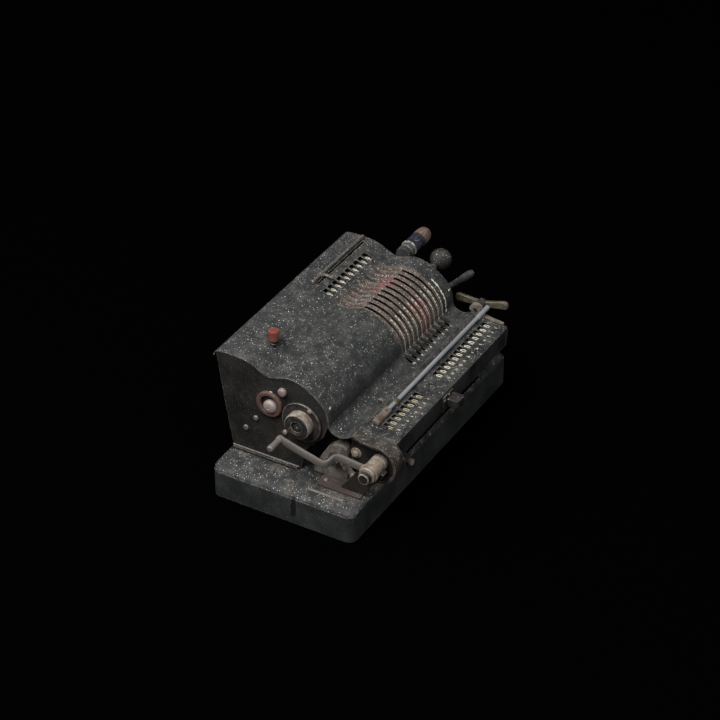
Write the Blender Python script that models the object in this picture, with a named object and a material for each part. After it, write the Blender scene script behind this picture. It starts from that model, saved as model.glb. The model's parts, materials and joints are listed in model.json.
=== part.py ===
"""A hand-cranked pinwheel calculating machine.

Metres, +Z up, +X towards the crank, front towards -Y. The origin is the middle of the base's underside.
Every piece is its own object. A moving piece hangs on an empty that lies on its joint's axis.
"""

import math

import bmesh
import bpy
from mathutils import Vector

# Fits
GAP = 0.0003
RUNNING_GAP = 0.0005
OVERRUN = 0.003
CASTING_OVERLAP = 0.0008
WELD_DISTANCE = 0.000001
SMOOTH_ANGLE = math.radians(35)

# Roundness, in sides or steps
ROUND_SIDES = 28
SMALL_SIDES = 16
WHEEL_SIDES = 20
CORNER_STEPS = 4
PROFILE_STEPS = 2

# Base casting
BASE_LENGTH = 0.300
BASE_DEPTH = 0.151
BASE_HEIGHT = 0.0345
BASE_CORNER = 0.009
BASE_END_ROUND = 0.0140
BASE_FRONT_ROUND = 0.0055
BASE_FLOOR = 0.006
BASE_ROUND_SHARES = (
    (0.0, 0.0, 0.0),
    (0.72, 0.0, 0.0),
    (0.81, 0.036, 0.0),
    (0.87, 0.13, 0.017),
    (0.92, 0.30, 0.133),
    (0.965, 0.607, 0.377),
    (1.0, 1.0, 1.0),
)
BASE_FRONT_WALL = 0.017
BASE_REAR_WALL = 0.010
LIP_THICKNESS = 0.003
LIP_LENGTH = 0.143
LIP_CENTRE_X = 0.0265

# Body: the sheet cover and the two plates that it sits on
COVER_LENGTH = 0.234
COVER_CENTRE_X = 0.001
COVER_DEPTH = 0.145
COVER_RISE = 0.1033
COVER_SHEET = 0.0016
COVER_OVERHANG = 0.0008
APRON_FRONT_Y = -0.054
PLATE_THICKNESS = 0.003
COVER_SHARES = (
    (1.0, 0.934),
    (0.980, 0.983),
    (0.912, 1.0),
    (0.786, 0.994),
    (0.717, 0.971),
    (0.643, 0.920),
    (0.599, 0.898),
    (0.554, 0.904),
    (0.494, 0.932),
    (0.442, 0.947),
    (0.390, 0.938),
    (0.332, 0.912),
    (0.281, 0.870),
    (0.237, 0.823),
    (0.201, 0.767),
    (0.172, 0.698),
    (0.161, 0.628),
    (0.157, 0.573),
    (0.140, 0.533),
    (0.108, 0.512),
    (0.070, 0.507),
    (0.0, 0.552),
)
HOOD_FOOT_SHARES = (0.157, 0.573)
HOOD_TOP_SHARE = 0.442
PLATE_FOOT_SHARES = ((0.205, 0.43), (0.33, 0.25), (0.372, 0.0))
REAR_FOOT_SHARES = ((0.925, 0.434), (0.870, 0.0))
REAR_PANEL_SHARES = ((0.972, 0.905), (0.908, 0.434), (0.852, 0.0))
REAR_SHEET = 0.0020

# Drum and setting levers
DRUM_AXIS_SHARES = (0.3517, 0.5373)
DRUM_CLEARANCE = 0.0019
DIGIT_COUNT = 10
DIGIT_PITCH = 0.0080
FIRST_DIGIT_X = 0.0205
LEVER_THICKNESS = 0.0024
LEVER_GROOVE = 0.0032
LEVER_HEADROOM = 0.0064
LEVER_TAB = 0.0050
LEVER_TIP_ROUND = 0.0014
LEVER_REST = math.radians(176)
LEVER_RING_SHARE = 0.8785
DRUM_HUB_SHARE = 0.535
DRUM_FLANGE = 0.0030
DRUM_SLEEVE = 0.022
DRUM_SLEEVE_RADIUS = 0.0095
SLOT_WIDTH = 0.0034
SLOT_TOP_SHARE = 0.455
SLOT_BOTTOM_SHARE = 0.086
SHAFT_RADIUS = 0.0045
GEAR_WIDTH = 0.006
GEAR_TEETH = 20
GEAR_ADDENDUM = 0.0012
GEAR_DEDENDUM = 0.0018
TOOTH_ROOT_SHARE = 0.42
TOOTH_TIP_SHARE = 0.20

# Bearings on the plates
FLANGE_SHARE = 0.825
FLANGE_THICKNESS = 0.0026
HUB_RADIUS = 0.0130
HUB_REACH = 0.0090
HUB_RECESS_RADIUS = 0.0072
HUB_RECESS = 0.0018
RIGHT_FLANGE_RADIUS = 0.0125
RING_SHARES = (0.5828, 0.605)
RING_INNER = 0.0082
RING_THICKNESS = 0.0030
BOLT_HEAD_RADIUS = 0.0071
BOLT_HEAD_HEIGHT = 0.0058
BOLT_HEAD_SHARES = ((1.0, 0.0), (1.0, 0.40), (0.88, 0.72), (0.60, 0.94), (0.35, 1.0), (0.0, 1.0))
BOLT_SHANK_RADIUS = 0.0030

# Crank
CRANK_AXIS_SHARES = (0.5793, 0.5179)
CRANK_SHAFT_RADIUS = 0.0050
CRANK_THROW = 0.0402
CRANK_LEAN = math.radians(4.4)
CRANK_ARM_THICKNESS = 0.006
CRANK_HUB_RADIUS = 0.0100
CRANK_BOSS_RADIUS = 0.0080
CRANK_BOSS_REACH = 0.0125
CRANK_EYE_RADIUS = 0.0075
CRANK_PLATE_GAP = 0.0010
HANDLE_PIN_RADIUS = 0.0030
HANDLE_LENGTH = 0.0425
HANDLE_WALL = 0.0070
HANDLE_SHARES = (
    (0.0, 0.86),
    (0.02, 0.88),
    (0.14, 0.88),
    (0.148, 1.0),
    (0.168, 1.0),
    (0.18, 0.94),
    (0.40, 0.95),
    (0.49, 0.95),
    (0.505, 0.93),
    (0.60, 0.955),
    (0.80, 0.95),
    (0.90, 0.86),
    (0.96, 0.66),
    (1.0, 0.30),
)
HANDLE_RADIUS = 0.0083

# Ball lever that rides on the crank's boss
BALL_RADIUS = 0.0108
BALL_REACH = 0.0145
BALL_THROW = 0.0442
BALL_ANGLE = math.radians(136.4)
BALL_STEM_RADIUS = 0.0032
BALL_LEVER_THICKNESS = 0.0030
BALL_LEVER_RING = 0.0120
BALL_ARM_WIDTH = 0.0080

# Release lever on the right plate
RELEASE_SHARES = (0.2207, 0.692)
RELEASE_BOSS_RADIUS = 0.0045
RELEASE_BOSS_REACH = 0.0034
RELEASE_FORWARD = 0.0268
RELEASE_RISE = 0.0252
RELEASE_LEAN = 0.0030
RELEASE_RADIUS = 0.0042
RELEASE_GRIP_SHARES = (
    (-0.06, 0.4),
    (0.10, 0.5),
    (0.38, 0.8),
    (0.52, 1.0),
    (0.88, 1.0),
    (0.96, 0.76),
    (1.0, 0.3),
)

# Setting check register under the cover's rear top
CHECK_AXIS_SHARES = (0.7172, 0.8519)
CHECK_CLEARANCE = 0.0006
CHECK_WIDTH = 0.0066
CHECK_BORE = 0.0023
CHECK_SHAFT_RADIUS = 0.0020
CHECK_WINDOW_WIDTH = 0.0048
CHECK_WINDOW_LENGTH = 0.0095
CHECK_RIM = 0.0012

# Decimal rod and pointer on the cover's rear top
ROD_RADIUS = 0.0014
ROD_SHARE = 0.8366
ROD_LEFT_X = 0.0200
ROD_RIGHT_X = 0.1150
ROD_LIFT = 0.0009
ROD_FOOT_LENGTH = 0.0050
ROD_FOOT_DEPTH = 0.0044
ROD_FOOT_OVERLAP = 0.0001
ROD_SIDES = 12
ROD_SLOT_WIDTH = 0.0022
ROD_SLOT_OFFSET = 0.0034
POINTER_X = 0.0330
POINTER_WIDTH = 0.0060
POINTER_REACH = 0.0100
POINTER_THICKNESS = 0.0012

# Red reversing knob
KNOB_X = -0.0790
KNOB_SHARE = 0.7076
KNOB_STEM_RADIUS = 0.0022
KNOB_STEM_LENGTH = 0.0150
KNOB_STEM_BELOW = 0.0070
KNOB_RADIUS = 0.0052
KNOB_HEIGHT = 0.0130
KNOB_CHAMFER_SHARE = 0.2
KNOB_COLLAR_RADIUS = 0.0040
KNOB_COLLAR_HEIGHT = 0.0015

# Carriage rail and its brackets
RAIL_REAR_Y = -0.034
RAIL_DEPTH = 0.014
RAIL_RISE = 0.0215
RAIL_HEIGHT = 0.010
BRACKET_WIDTH = 0.010
BRACKET_DEPTH = 0.0217
BRACKET_SHARES = ((0.0, 0.0), (1.0, 0.0), (1.0, 1.0), (0.62, 1.12), (0.1, 0.55))
LEFT_BRACKET_SHARES = (
    (0.0, 0.0),
    (0.0, 0.135),
    (0.224, 0.68),
    (0.434, 1.08),
    (0.644, 1.24),
    (0.84, 1.288),
    (0.966, 1.192),
    (1.0, 1.0),
    (1.0, 0.0),
)
POCKET_MARGIN = 0.002

# Carriage
CARRIAGE_SEAM = 0.0006
CARRIAGE_DEPTH = 0.0364
CARRIAGE_BOTTOM = 0.0315
CARRIAGE_SKIRT = 0.0262
CARRIAGE_SHEET = 0.0020
CARRIAGE_LENGTH = 0.2325
CARRIAGE_SHARES = (
    (0.0, 1.0),
    (0.236, 0.893),
    (0.4725, 0.821),
    (0.676, 0.817),
    (0.879, 0.817),
    (0.9725, 0.775),
    (1.0, 0.668),
    (0.9835, 0.0),
)
CHEEK_WIDTH = 0.0167
CHEEK_WALL = 0.0087
CHEEK_RADIUS = 0.0195
CHEEK_CENTRE_SHARES = (0.698, 0.1145)
CHEEK_TOP_ANGLE = math.radians(78)
CHEEK_END_ANGLE = math.radians(290)
CHEEK_OPEN_SHARE = -1
END_PLATE_FOOT_SHARES = (0.7, -0.5)
CHEEK_REAR_SHARES = ((-0.03, -0.45), (-0.14, -0.2), (-0.14, 0.72), (-0.01, 0.8))
END_PLATE_THICKNESS = 0.0032
SADDLE_REAR_INSET = 0.0014
SADDLE_WEB = 0.0046
SADDLE_LIP = 0.0036
SADDLE_LIP_REACH = 0.010
SADDLE_RISE = 0.018

# Registers in the carriage
REGISTER_SHARES = (0.5055, 0.229)
REGISTER_WHEEL_RADIUS = 0.0130
REGISTER_BORE = 0.0029
REGISTER_SHAFT_RADIUS = 0.0025
REGISTER_GROOVE = 0.0012
REGISTER_CORE = 0.0100
RESULT_COUNT = 13
COUNTER_COUNT = 8
REGISTER_PITCH = 0.00787
RESULT_FIRST_X = 0.0136
COUNTER_FIRST_X = -0.0801
WINDOW_WIDTH = 0.0052
WINDOW_LENGTH = 0.0092
WINDOW_SHARE = 0.478

# Decimal bar over the carriage, its clamp and its marker
BAR_SHARES = (0.217, 1.013)
BAR_RADIUS = 0.0020
BAR_LEFT_X = -0.0640
BAR_RIGHT_X = 0.1090
BAR_SLEEVE_RADIUS = 0.0025
BAR_CLAMP_LENGTH = 0.0250
BAR_CLAMP_DEPTH = 0.0068
BAR_CLAMP_HEIGHT = 0.0035
BAR_CLAMP_LIFT = 0.0005
MARKER_X = -0.0520
MARKER_LENGTH = 0.0050
MARKER_WALL = 0.0010

# Wing nut and the bracket that carries it
NUT_SHARES = (0.0055, 1.023)
NUT_SPINDLE_RADIUS = 0.0025
NUT_DOME_RADIUS = 0.0049
NUT_DOME_LENGTH = 0.0072
NUT_WING_THICKNESS = 0.0048
NUT_SPAN = 0.0285
NUT_ROOT_HALF = 0.0030
NUT_TIP_HALF = 0.0052
NUT_TIP_RISE = 0.0035
NUT_REST = math.radians(-6.5)
NUT_CROWN_SHARE = 0.25
NUT_BRACKET_THICKNESS = 0.0047
NUT_EAR = 0.0064
NUT_FOOT_SHARES = ((0.81, 0.3), (0.81, 0.76), (0.5, 0.8), (0.3, 0.3))
NUT_BRACKET_SHARES = ((0.15, 0.5), (0.3, 0.3), (0.81, 0.3), (0.81, 0.76), (0.5, 0.80), (0.25, 0.87))

# Shift key on the carriage's front
KEY_X = -0.0023
KEY_WIDTH = 0.0134
KEY_DEPTH = 0.0142
KEY_THICKNESS = 0.0085
KEY_TOP_SHARE = 0.595
KEY_CORNER_SHARE = 0.2
KEY_PLATE_THICKNESS = 0.0018
KEY_PLATE_LEFT = 0.0115
KEY_PLATE_RIGHT = 0.0068
KEY_PLATE_RISE = 0.0030
KEY_TRAVEL = 0.003
KEY_STEM_WIDTH = 0.006
KEY_STEM_HEIGHT = 0.004
KEY_STEM_LENGTH = 0.0035

# Clearing drum, its crank and the pedestal on the base's left ledge
CLEARING_RADIUS = 0.0080
CLEARING_LENGTH = 0.0160
CLEARING_SPINDLE = 0.0040
CLEARING_RING = 0.0092
CLEARING_RING_LENGTH = 0.0030
CLEARING_END_RADIUS = 0.0055
CLEARING_END_LENGTH = 0.0120
LINK_THICKNESS = 0.0035
LINK_HALF = 0.0036
LINK_HUB = 0.0085
LINK_JOGGLE = 0.0140
LINK_INNER_RUN = 0.0360
LINK_INNER_RISE = 0.0035
LINK_OUTER_RUN = 0.0840
LINK_OUTER_RISE = 0.0160
LINK_PIN_RADIUS = 0.0034
LINK_PIN_LENGTH = 0.0165
PEDESTAL_WALL = 0.0034
PEDESTAL_SETBACK = 0.0065
PEDESTAL_FOOT = 0.0220
CRADLE_REAR_ANGLE = math.radians(352)
CRADLE_FRONT_ANGLE = math.radians(188)
CRADLE_FOOT_ANGLE = math.radians(230)
TRACK_LENGTH = 0.045
TRACK_WIDTH = 0.0160
TRACK_HEIGHT = 0.0022
TRACK_MARGIN = 0.0010
TRACK_GROOVE = 0.0025

# Thumbscrew on the base's front
LIP_SCREW_X = -0.0490
LIP_SCREW_DROP = 0.0050
LIP_SCREW_RADIUS = 0.0034
LIP_SCREW_LENGTH = 0.0052
LIP_SCREW_SHARES = ((0, 0.7), (0.3, 0.7), (0.31, 1.0), (0.92, 1.0), (1.0, 0.85))

# Colour, roughness and metallic value of each finish
FINISHES = {
    "black_paint": ((0.055, 0.060, 0.062), 0.55, 0.0),
    "worn_steel": ((0.44, 0.42, 0.39), 0.45, 0.9),
    "rusty_steel": ((0.24, 0.15, 0.11), 0.75, 0.4),
    "tarnished_brass": ((0.36, 0.30, 0.21), 0.55, 0.7),
    "white_dial": ((0.72, 0.70, 0.62), 0.50, 0.0),
    "red_knob": ((0.42, 0.09, 0.07), 0.45, 0.0),
    "dark_grip": ((0.040, 0.042, 0.048), 0.40, 0.0),
}

# Places worked out from the sizes above
COVER_LEFT = COVER_CENTRE_X - COVER_LENGTH / 2
COVER_RIGHT = COVER_CENTRE_X + COVER_LENGTH / 2
LEFT_FACE = COVER_LEFT + COVER_OVERHANG
RIGHT_FACE = COVER_RIGHT - COVER_OVERHANG
LEFT_INNER = LEFT_FACE + PLATE_THICKNESS
RIGHT_INNER = RIGHT_FACE - PLATE_THICKNESS
CARRIAGE_REAR_Y = APRON_FRONT_Y - CARRIAGE_SEAM
CARRIAGE_LEFT = COVER_LEFT + COVER_OVERHANG
CARRIAGE_RIGHT = CARRIAGE_LEFT + CARRIAGE_LENGTH
CHEEK_RIGHT = CARRIAGE_LEFT + CHEEK_WIDTH
END_PLATE_LEFT = CARRIAGE_RIGHT - END_PLATE_THICKNESS
BASE_FRONT_Y = -BASE_DEPTH / 2
OUTSIDE_LEFT = LEFT_FACE - GAP
OUTSIDE_RIGHT = RIGHT_FACE + GAP


def body_point(shares):
    """A place in the body's side view, from shares of the cover's depth and rise."""
    return APRON_FRONT_Y + COVER_DEPTH * shares[0], BASE_HEIGHT + COVER_RISE * shares[1]


def carriage_point(shares):
    """A place in the carriage's side view, from shares of its depth and skirt."""
    y = CARRIAGE_REAR_Y - CARRIAGE_DEPTH * shares[0]
    return y, BASE_HEIGHT + CARRIAGE_BOTTOM + CARRIAGE_SKIRT * shares[1]


def circle_point(centre, radius, angle):
    return centre[0] + radius * math.cos(angle), centre[1] + radius * math.sin(angle)


def arc(centre, radius, start, end, steps):
    return [circle_point(centre, radius, start + (end - start) * i / steps) for i in range(steps + 1)]


def smooth(points, steps):
    """A Catmull-Rom curve through the points."""
    padded = [points[0], *points, points[-1]]
    curve = []
    for i in range(len(points) - 1):
        before, start, end, after = (Vector(p) for p in padded[i : i + 4])
        for step in range(steps):
            t = step / steps
            bend = (end - before) * t + (2 * before - 5 * start + 4 * end - after) * t**2
            bend += (3 * start - before - 3 * end + after) * t**3
            curve.append(tuple(start + bend / 2))
    return [*curve, points[-1]]


def inset(points, distance):
    """The open outline moved to its inner side, which is on the left of its run from rear to front."""
    moved = []
    for i, point in enumerate(points):
        ahead = Vector(points[min(i + 1, len(points) - 1)]) - Vector(point)
        behind = Vector(point) - Vector(points[max(i - 1, 0)])
        along = (ahead.normalized() + behind.normalized()).normalized()
        moved.append((point[0] - along[1] * distance, point[1] + along[0] * distance))
    return moved


def distance(a, b):
    return math.hypot(a[0] - b[0], a[1] - b[1])


COVER_OUTLINE = smooth([body_point(shares) for shares in COVER_SHARES], PROFILE_STEPS)
DRUM_AXIS = body_point(DRUM_AXIS_SHARES)
CRANK_AXIS = body_point(CRANK_AXIS_SHARES)
CHECK_AXIS = body_point(CHECK_AXIS_SHARES)
HOOD_FOOT = body_point(HOOD_FOOT_SHARES)
HOOD_TOP_Y = body_point((HOOD_TOP_SHARE, 0))[0]
DRUM_RADIUS = DRUM_AXIS[0] - HOOD_FOOT[0] - COVER_SHEET - DRUM_CLEARANCE
HOOD_ROOM = min(distance(DRUM_AXIS, p) for p in COVER_OUTLINE if p[0] > HOOD_TOP_Y) - COVER_SHEET
CHECK_RADIUS = min(distance(CHECK_AXIS, p) for p in COVER_OUTLINE) - COVER_SHEET - CHECK_CLEARANCE
LEVER_REACH = HOOD_ROOM - LEVER_HEADROOM
LEVER_RING = DRUM_RADIUS * LEVER_RING_SHARE
DRUM_HUB_RADIUS = DRUM_RADIUS * DRUM_HUB_SHARE
FLANGE_RADIUS = DRUM_RADIUS * FLANGE_SHARE
LAST_DIGIT_X = FIRST_DIGIT_X + DIGIT_PITCH * (DIGIT_COUNT - 1)
DRUM_LEFT = FIRST_DIGIT_X - DIGIT_PITCH / 2 - DRUM_FLANGE
DRUM_RIGHT = LAST_DIGIT_X + DIGIT_PITCH / 2 + DRUM_FLANGE
GEAR_PITCH_RADIUS = distance(DRUM_AXIS, CRANK_AXIS) / 2
REGISTER_AXIS = carriage_point(REGISTER_SHARES)
CHEEK_CENTRE = carriage_point(CHEEK_CENTRE_SHARES)
RAIL_BOTTOM = BASE_HEIGHT + RAIL_RISE
RAIL_TOP = RAIL_BOTTOM + RAIL_HEIGHT
BAR_AXIS = carriage_point(BAR_SHARES)
NUT_AXIS = carriage_point(NUT_SHARES)


def closed(bm):
    bmesh.ops.remove_doubles(bm, verts=bm.verts, dist=WELD_DISTANCE)
    bmesh.ops.recalc_face_normals(bm, faces=bm.faces)
    return bm


def prism(outline, x_start, x_end):
    """An outline in the side view, extruded along X."""
    bm = bmesh.new()
    face = bm.faces.new([bm.verts.new((x_start, y, z)) for y, z in outline])
    grown = bmesh.ops.extrude_face_region(bm, geom=[face])["geom"]
    moved = [item for item in grown if isinstance(item, bmesh.types.BMVert)]
    bmesh.ops.translate(bm, vec=(x_end - x_start, 0, 0), verts=moved)
    return closed(bm)


def slab(outline, z_start, z_end):
    """An outline in plan, extruded upwards."""
    bm = bmesh.new()
    face = bm.faces.new([bm.verts.new((x, y, z_start)) for x, y in outline])
    grown = bmesh.ops.extrude_face_region(bm, geom=[face])["geom"]
    moved = [item for item in grown if isinstance(item, bmesh.types.BMVert)]
    bmesh.ops.translate(bm, vec=(0, 0, z_end - z_start), verts=moved)
    return closed(bm)


def block(x_range, y_range, z_range):
    corners = [(y, z) for y, z in zip((*y_range, *y_range[::-1]), (z_range[0],) * 2 + (z_range[1],) * 2)]
    return prism(corners, *x_range)


def blocks(boxes):
    """Several boxes in one mesh, which cut or print as one tool."""
    bm = bmesh.new()
    for box in boxes:
        one = block(*box)
        one.verts.index_update()
        copied = [bm.verts.new(vert.co) for vert in one.verts]
        for face in one.faces:
            bm.faces.new([copied[vert.index] for vert in face.verts])
        one.free()
    bmesh.ops.recalc_face_normals(bm, faces=bm.faces)
    return bm


def turned(profile, axis, sides):
    """A profile of (x, radius) points turned about an axis along X. A profile off the axis is closed."""
    bm = bmesh.new()
    verts = [bm.verts.new((x, axis[0], axis[1] + radius)) for x, radius in profile]
    pairs = list(zip(verts, verts[1:]))
    if min(radius for _, radius in profile) > 0:
        pairs.append((verts[-1], verts[0]))
    edges = [bm.edges.new(pair) for pair in pairs]
    bmesh.ops.spin(
        bm,
        geom=[*verts, *edges],
        cent=(0, *axis),
        axis=(1, 0, 0),
        angle=math.tau,
        steps=sides,
        use_merge=True,
    )
    return closed(bm)


def rod(x_start, x_end, radius, axis, sides=SMALL_SIDES):
    return turned([(x_start, 0), (x_start, radius), (x_end, radius), (x_end, 0)], axis, sides)


def tube(x_start, x_end, inner, outer, axis, sides=ROUND_SIDES):
    return turned([(x_start, inner), (x_start, outer), (x_end, outer), (x_end, inner)], axis, sides)


def pillar(profile, centre, sides):
    """A profile of (radius, z) points turned about an upright axis."""
    bm = bmesh.new()
    verts = [bm.verts.new((centre[0] + radius, centre[1], z)) for radius, z in profile]
    edges = [bm.edges.new(pair) for pair in zip(verts, verts[1:])]
    bmesh.ops.spin(
        bm,
        geom=[*verts, *edges],
        cent=(*centre, 0),
        axis=(0, 0, 1),
        angle=math.tau,
        steps=sides,
        use_merge=True,
    )
    return closed(bm)


def link(start, end, half_width, steps=CORNER_STEPS):
    """The outline of a bar with round ends between two places in the side view."""
    heading = math.atan2(end[1] - start[1], end[0] - start[0])
    quarter = math.pi / 2
    far_end = arc(end, half_width, heading - quarter, heading + quarter, 2 * steps)
    near_end = arc(start, half_width, heading + quarter, heading + 3 * quarter, 2 * steps)
    return far_end + near_end


def mesh_of(bm, name, origin):
    bmesh.ops.translate(bm, vec=-Vector(origin), verts=bm.verts)
    mesh = bpy.data.meshes.new(name)
    bm.to_mesh(mesh)
    bm.free()
    mesh.shade_smooth()
    mesh.set_sharp_from_angle(angle=SMOOTH_ANGLE)
    return mesh


def material(name, finish):
    colour, roughness, metallic = FINISHES[finish]
    made = bpy.data.materials.new(f"{name}_{finish}")
    made.use_nodes = True
    shader = made.node_tree.nodes["Principled BSDF"]
    shader.inputs["Base Color"].default_value = (*colour, 1)
    shader.inputs["Roughness"].default_value = roughness
    shader.inputs["Metallic"].default_value = metallic
    made.diffuse_color = (*colour, 1)
    return made


def world_place(obj):
    place = Vector((0, 0, 0))
    while obj:
        place += obj.location
        obj = obj.parent
    return place


def pivot(name, place, parent=None):
    """An empty on a joint's axis, which the joint's pieces hang on."""
    empty = bpy.data.objects.new(name, None)
    empty.parent = parent
    empty.location = Vector(place) - world_place(parent)
    bpy.context.collection.objects.link(empty)
    return empty


def piece(name, bm, finish, parent=None):
    """A named solid with its own material, whose origin is its parent's place."""
    origin = world_place(parent)
    obj = bpy.data.objects.new(name, mesh_of(bm, name, origin))
    obj.parent = parent
    obj.data.materials.append(material(name, finish))
    bpy.context.collection.objects.link(obj)
    return obj


def apply_tool(obj, bm, operation):
    """A Boolean with a hidden helper, which stays in the scene as a wire."""
    name = f"{obj.name}_{operation.lower()}_{len(obj.modifiers) + 1}"
    tool = bpy.data.objects.new(name, mesh_of(bm, name, world_place(obj)))
    tool.parent = obj
    tool.hide_render = True
    tool.display_type = "WIRE"
    bpy.context.collection.objects.link(tool)
    modifier = obj.modifiers.new(operation.title(), "BOOLEAN")
    modifier.operation = operation
    modifier.object = tool


def cut(obj, bm):
    apply_tool(obj, bm, "DIFFERENCE")


def join(obj, bm):
    apply_tool(obj, bm, "UNION")


def rounded_rectangle(half_length, half_depth, corner):
    outline = []
    for quarter, (sx, sy) in enumerate(((1, 1), (-1, 1), (-1, -1), (1, -1))):
        centre = (sx * (half_length - corner), sy * (half_depth - corner))
        start = quarter * math.pi / 2
        outline += arc(centre, corner, start, start + math.pi / 2, CORNER_STEPS)
    return outline


def base_casting():
    """A tray: flat underside, round-topped ends, a pocket under the mechanism and a thin front lip."""
    bm = bmesh.new()
    rings = []
    for level, end_share, front_share in BASE_ROUND_SHARES:
        half_length = BASE_LENGTH / 2 - BASE_END_ROUND * end_share
        half_depth = BASE_DEPTH / 2 - BASE_FRONT_ROUND * front_share
        outline = rounded_rectangle(half_length, half_depth, BASE_CORNER)
        rings.append([bm.verts.new((x, y, BASE_HEIGHT * level)) for x, y in outline])
    for low, high in zip(rings, rings[1:]):
        for i in range(len(low)):
            j = (i + 1) % len(low)
            bm.faces.new((low[i], low[j], high[j], high[i]))
    bm.faces.new(rings[0])
    bm.faces.new(rings[-1])
    base = piece("base", closed(bm), "black_paint")
    left = LEFT_INNER + BRACKET_WIDTH + POCKET_MARGIN
    right = RIGHT_INNER - BRACKET_WIDTH - POCKET_MARGIN
    lip_left = LIP_CENTRE_X - LIP_LENGTH / 2
    lip_right = min(LIP_CENTRE_X + LIP_LENGTH / 2, right)
    front = BASE_FRONT_Y + BASE_FRONT_WALL
    lip = BASE_FRONT_Y + LIP_THICKNESS
    rear = BASE_DEPTH / 2 - BASE_REAR_WALL
    pocket = [
        (left, rear),
        (left, front),
        (lip_left, front),
        (lip_left, lip),
        (lip_right, lip),
        (lip_right, front),
        (right, front),
        (right, rear),
    ]
    cut(base, slab(pocket, BASE_FLOOR, BASE_HEIGHT + OVERRUN))


def plate_outline():
    """The side plate under the cover: the cover's line, then down the open front and the leaning rear."""
    inner = inset(COVER_OUTLINE, COVER_SHEET + GAP)
    top = [point for point, outer in zip(inner, COVER_OUTLINE) if outer[1] > HOOD_FOOT[1]]
    rear_top = top[0][0] - COVER_SHEET, top[0][1]
    foot = [body_point(shares) for shares in PLATE_FOOT_SHARES]
    rear = [body_point(shares) for shares in reversed(REAR_FOOT_SHARES)]
    foot[-1] = foot[-1][0], BASE_HEIGHT + GAP
    rear[0] = rear[0][0], BASE_HEIGHT + GAP
    return [rear_top, *top[1:], *foot, *rear]


def side_frames():
    outline = plate_outline()
    left = piece("left_side_frame", prism(outline, LEFT_FACE, LEFT_INNER), "black_paint")
    right = piece("right_side_frame", prism(outline, RIGHT_INNER, RIGHT_FACE), "black_paint")
    ring = body_point(RING_SHARES)
    left_cut = (LEFT_FACE - OVERRUN, LEFT_INNER + OVERRUN)
    right_cut = (RIGHT_INNER - OVERRUN, RIGHT_FACE + OVERRUN)
    cut(left, rod(*left_cut, SHAFT_RADIUS + RUNNING_GAP, DRUM_AXIS))
    cut(left, rod(*left_cut, BOLT_SHANK_RADIUS + GAP, ring))
    cut(right, rod(*right_cut, SHAFT_RADIUS + RUNNING_GAP, DRUM_AXIS))
    cut(right, rod(*right_cut, CRANK_SHAFT_RADIUS + RUNNING_GAP, CRANK_AXIS))


def surface_height(outline, y):
    """The height of an outline's top over a place in its run from rear to front."""
    for (y_a, z_a), (y_b, z_b) in zip(outline, outline[1:]):
        if y_b <= y <= y_a:
            return z_a + (z_b - z_a) * (y_a - y) / (y_a - y_b)
    return outline[-1][1]


def digit_places(first, pitch, count):
    return [first + pitch * i for i in range(count)]


def top_cover():
    """One bent sheet with the lever slots, the check windows, the pointer slot and the knob's hole."""
    under = [(max(y, APRON_FRONT_Y), z) for y, z in inset(COVER_OUTLINE, COVER_SHEET)]
    outline = COVER_OUTLINE + under[::-1]
    cover = piece("top_cover", prism(outline, COVER_LEFT, COVER_RIGHT), "black_paint")
    above = BASE_HEIGHT + COVER_RISE + OVERRUN
    slot_top = body_point((SLOT_TOP_SHARE, 0))[0]
    slot_bottom = body_point((SLOT_BOTTOM_SHARE, 0))[0]
    half_slot = SLOT_WIDTH / 2
    slot_floor = DRUM_AXIS[1] - SHAFT_RADIUS * 2
    slots = [
        ((x - half_slot, x + half_slot), (slot_bottom, slot_top), (slot_floor, above))
        for x in digit_places(FIRST_DIGIT_X, DIGIT_PITCH, DIGIT_COUNT)
    ]
    cut(cover, blocks(slots))
    half_window = CHECK_WINDOW_WIDTH / 2
    half_length = CHECK_WINDOW_LENGTH / 2
    window_floor = CHECK_AXIS[1] + CHECK_RADIUS / 2
    windows = [
        (
            (x - half_window, x + half_window),
            (CHECK_AXIS[0] - half_length, CHECK_AXIS[0] + half_length),
            (window_floor, above),
        )
        for x in digit_places(FIRST_DIGIT_X, DIGIT_PITCH, DIGIT_COUNT)
    ]
    rod_y = body_point((ROD_SHARE, 0))[0]
    groove_y = rod_y - ROD_SLOT_OFFSET
    groove = (
        (ROD_LEFT_X + ROD_FOOT_LENGTH, ROD_RIGHT_X - ROD_FOOT_LENGTH),
        (groove_y - ROD_SLOT_WIDTH / 2, groove_y + ROD_SLOT_WIDTH / 2),
        (window_floor, above),
    )
    cut(cover, blocks([*windows, groove]))
    centre = (KNOB_X, body_point((KNOB_SHARE, 0))[0])
    hole = KNOB_STEM_RADIUS + GAP
    stem_hole = [(0, window_floor), (hole, window_floor), (hole, above), (0, above)]
    cut(cover, pillar(stem_hole, centre, SMALL_SIDES))


def rear_panel():
    outer = [body_point(shares) for shares in REAR_PANEL_SHARES]
    outer[-1] = outer[-1][0], BASE_HEIGHT + GAP
    inner = [(y - REAR_SHEET, z) for y, z in reversed(outer)]
    piece("rear_panel", prism(outer + inner, LEFT_INNER + GAP, RIGHT_INNER - GAP), "black_paint")


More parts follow.
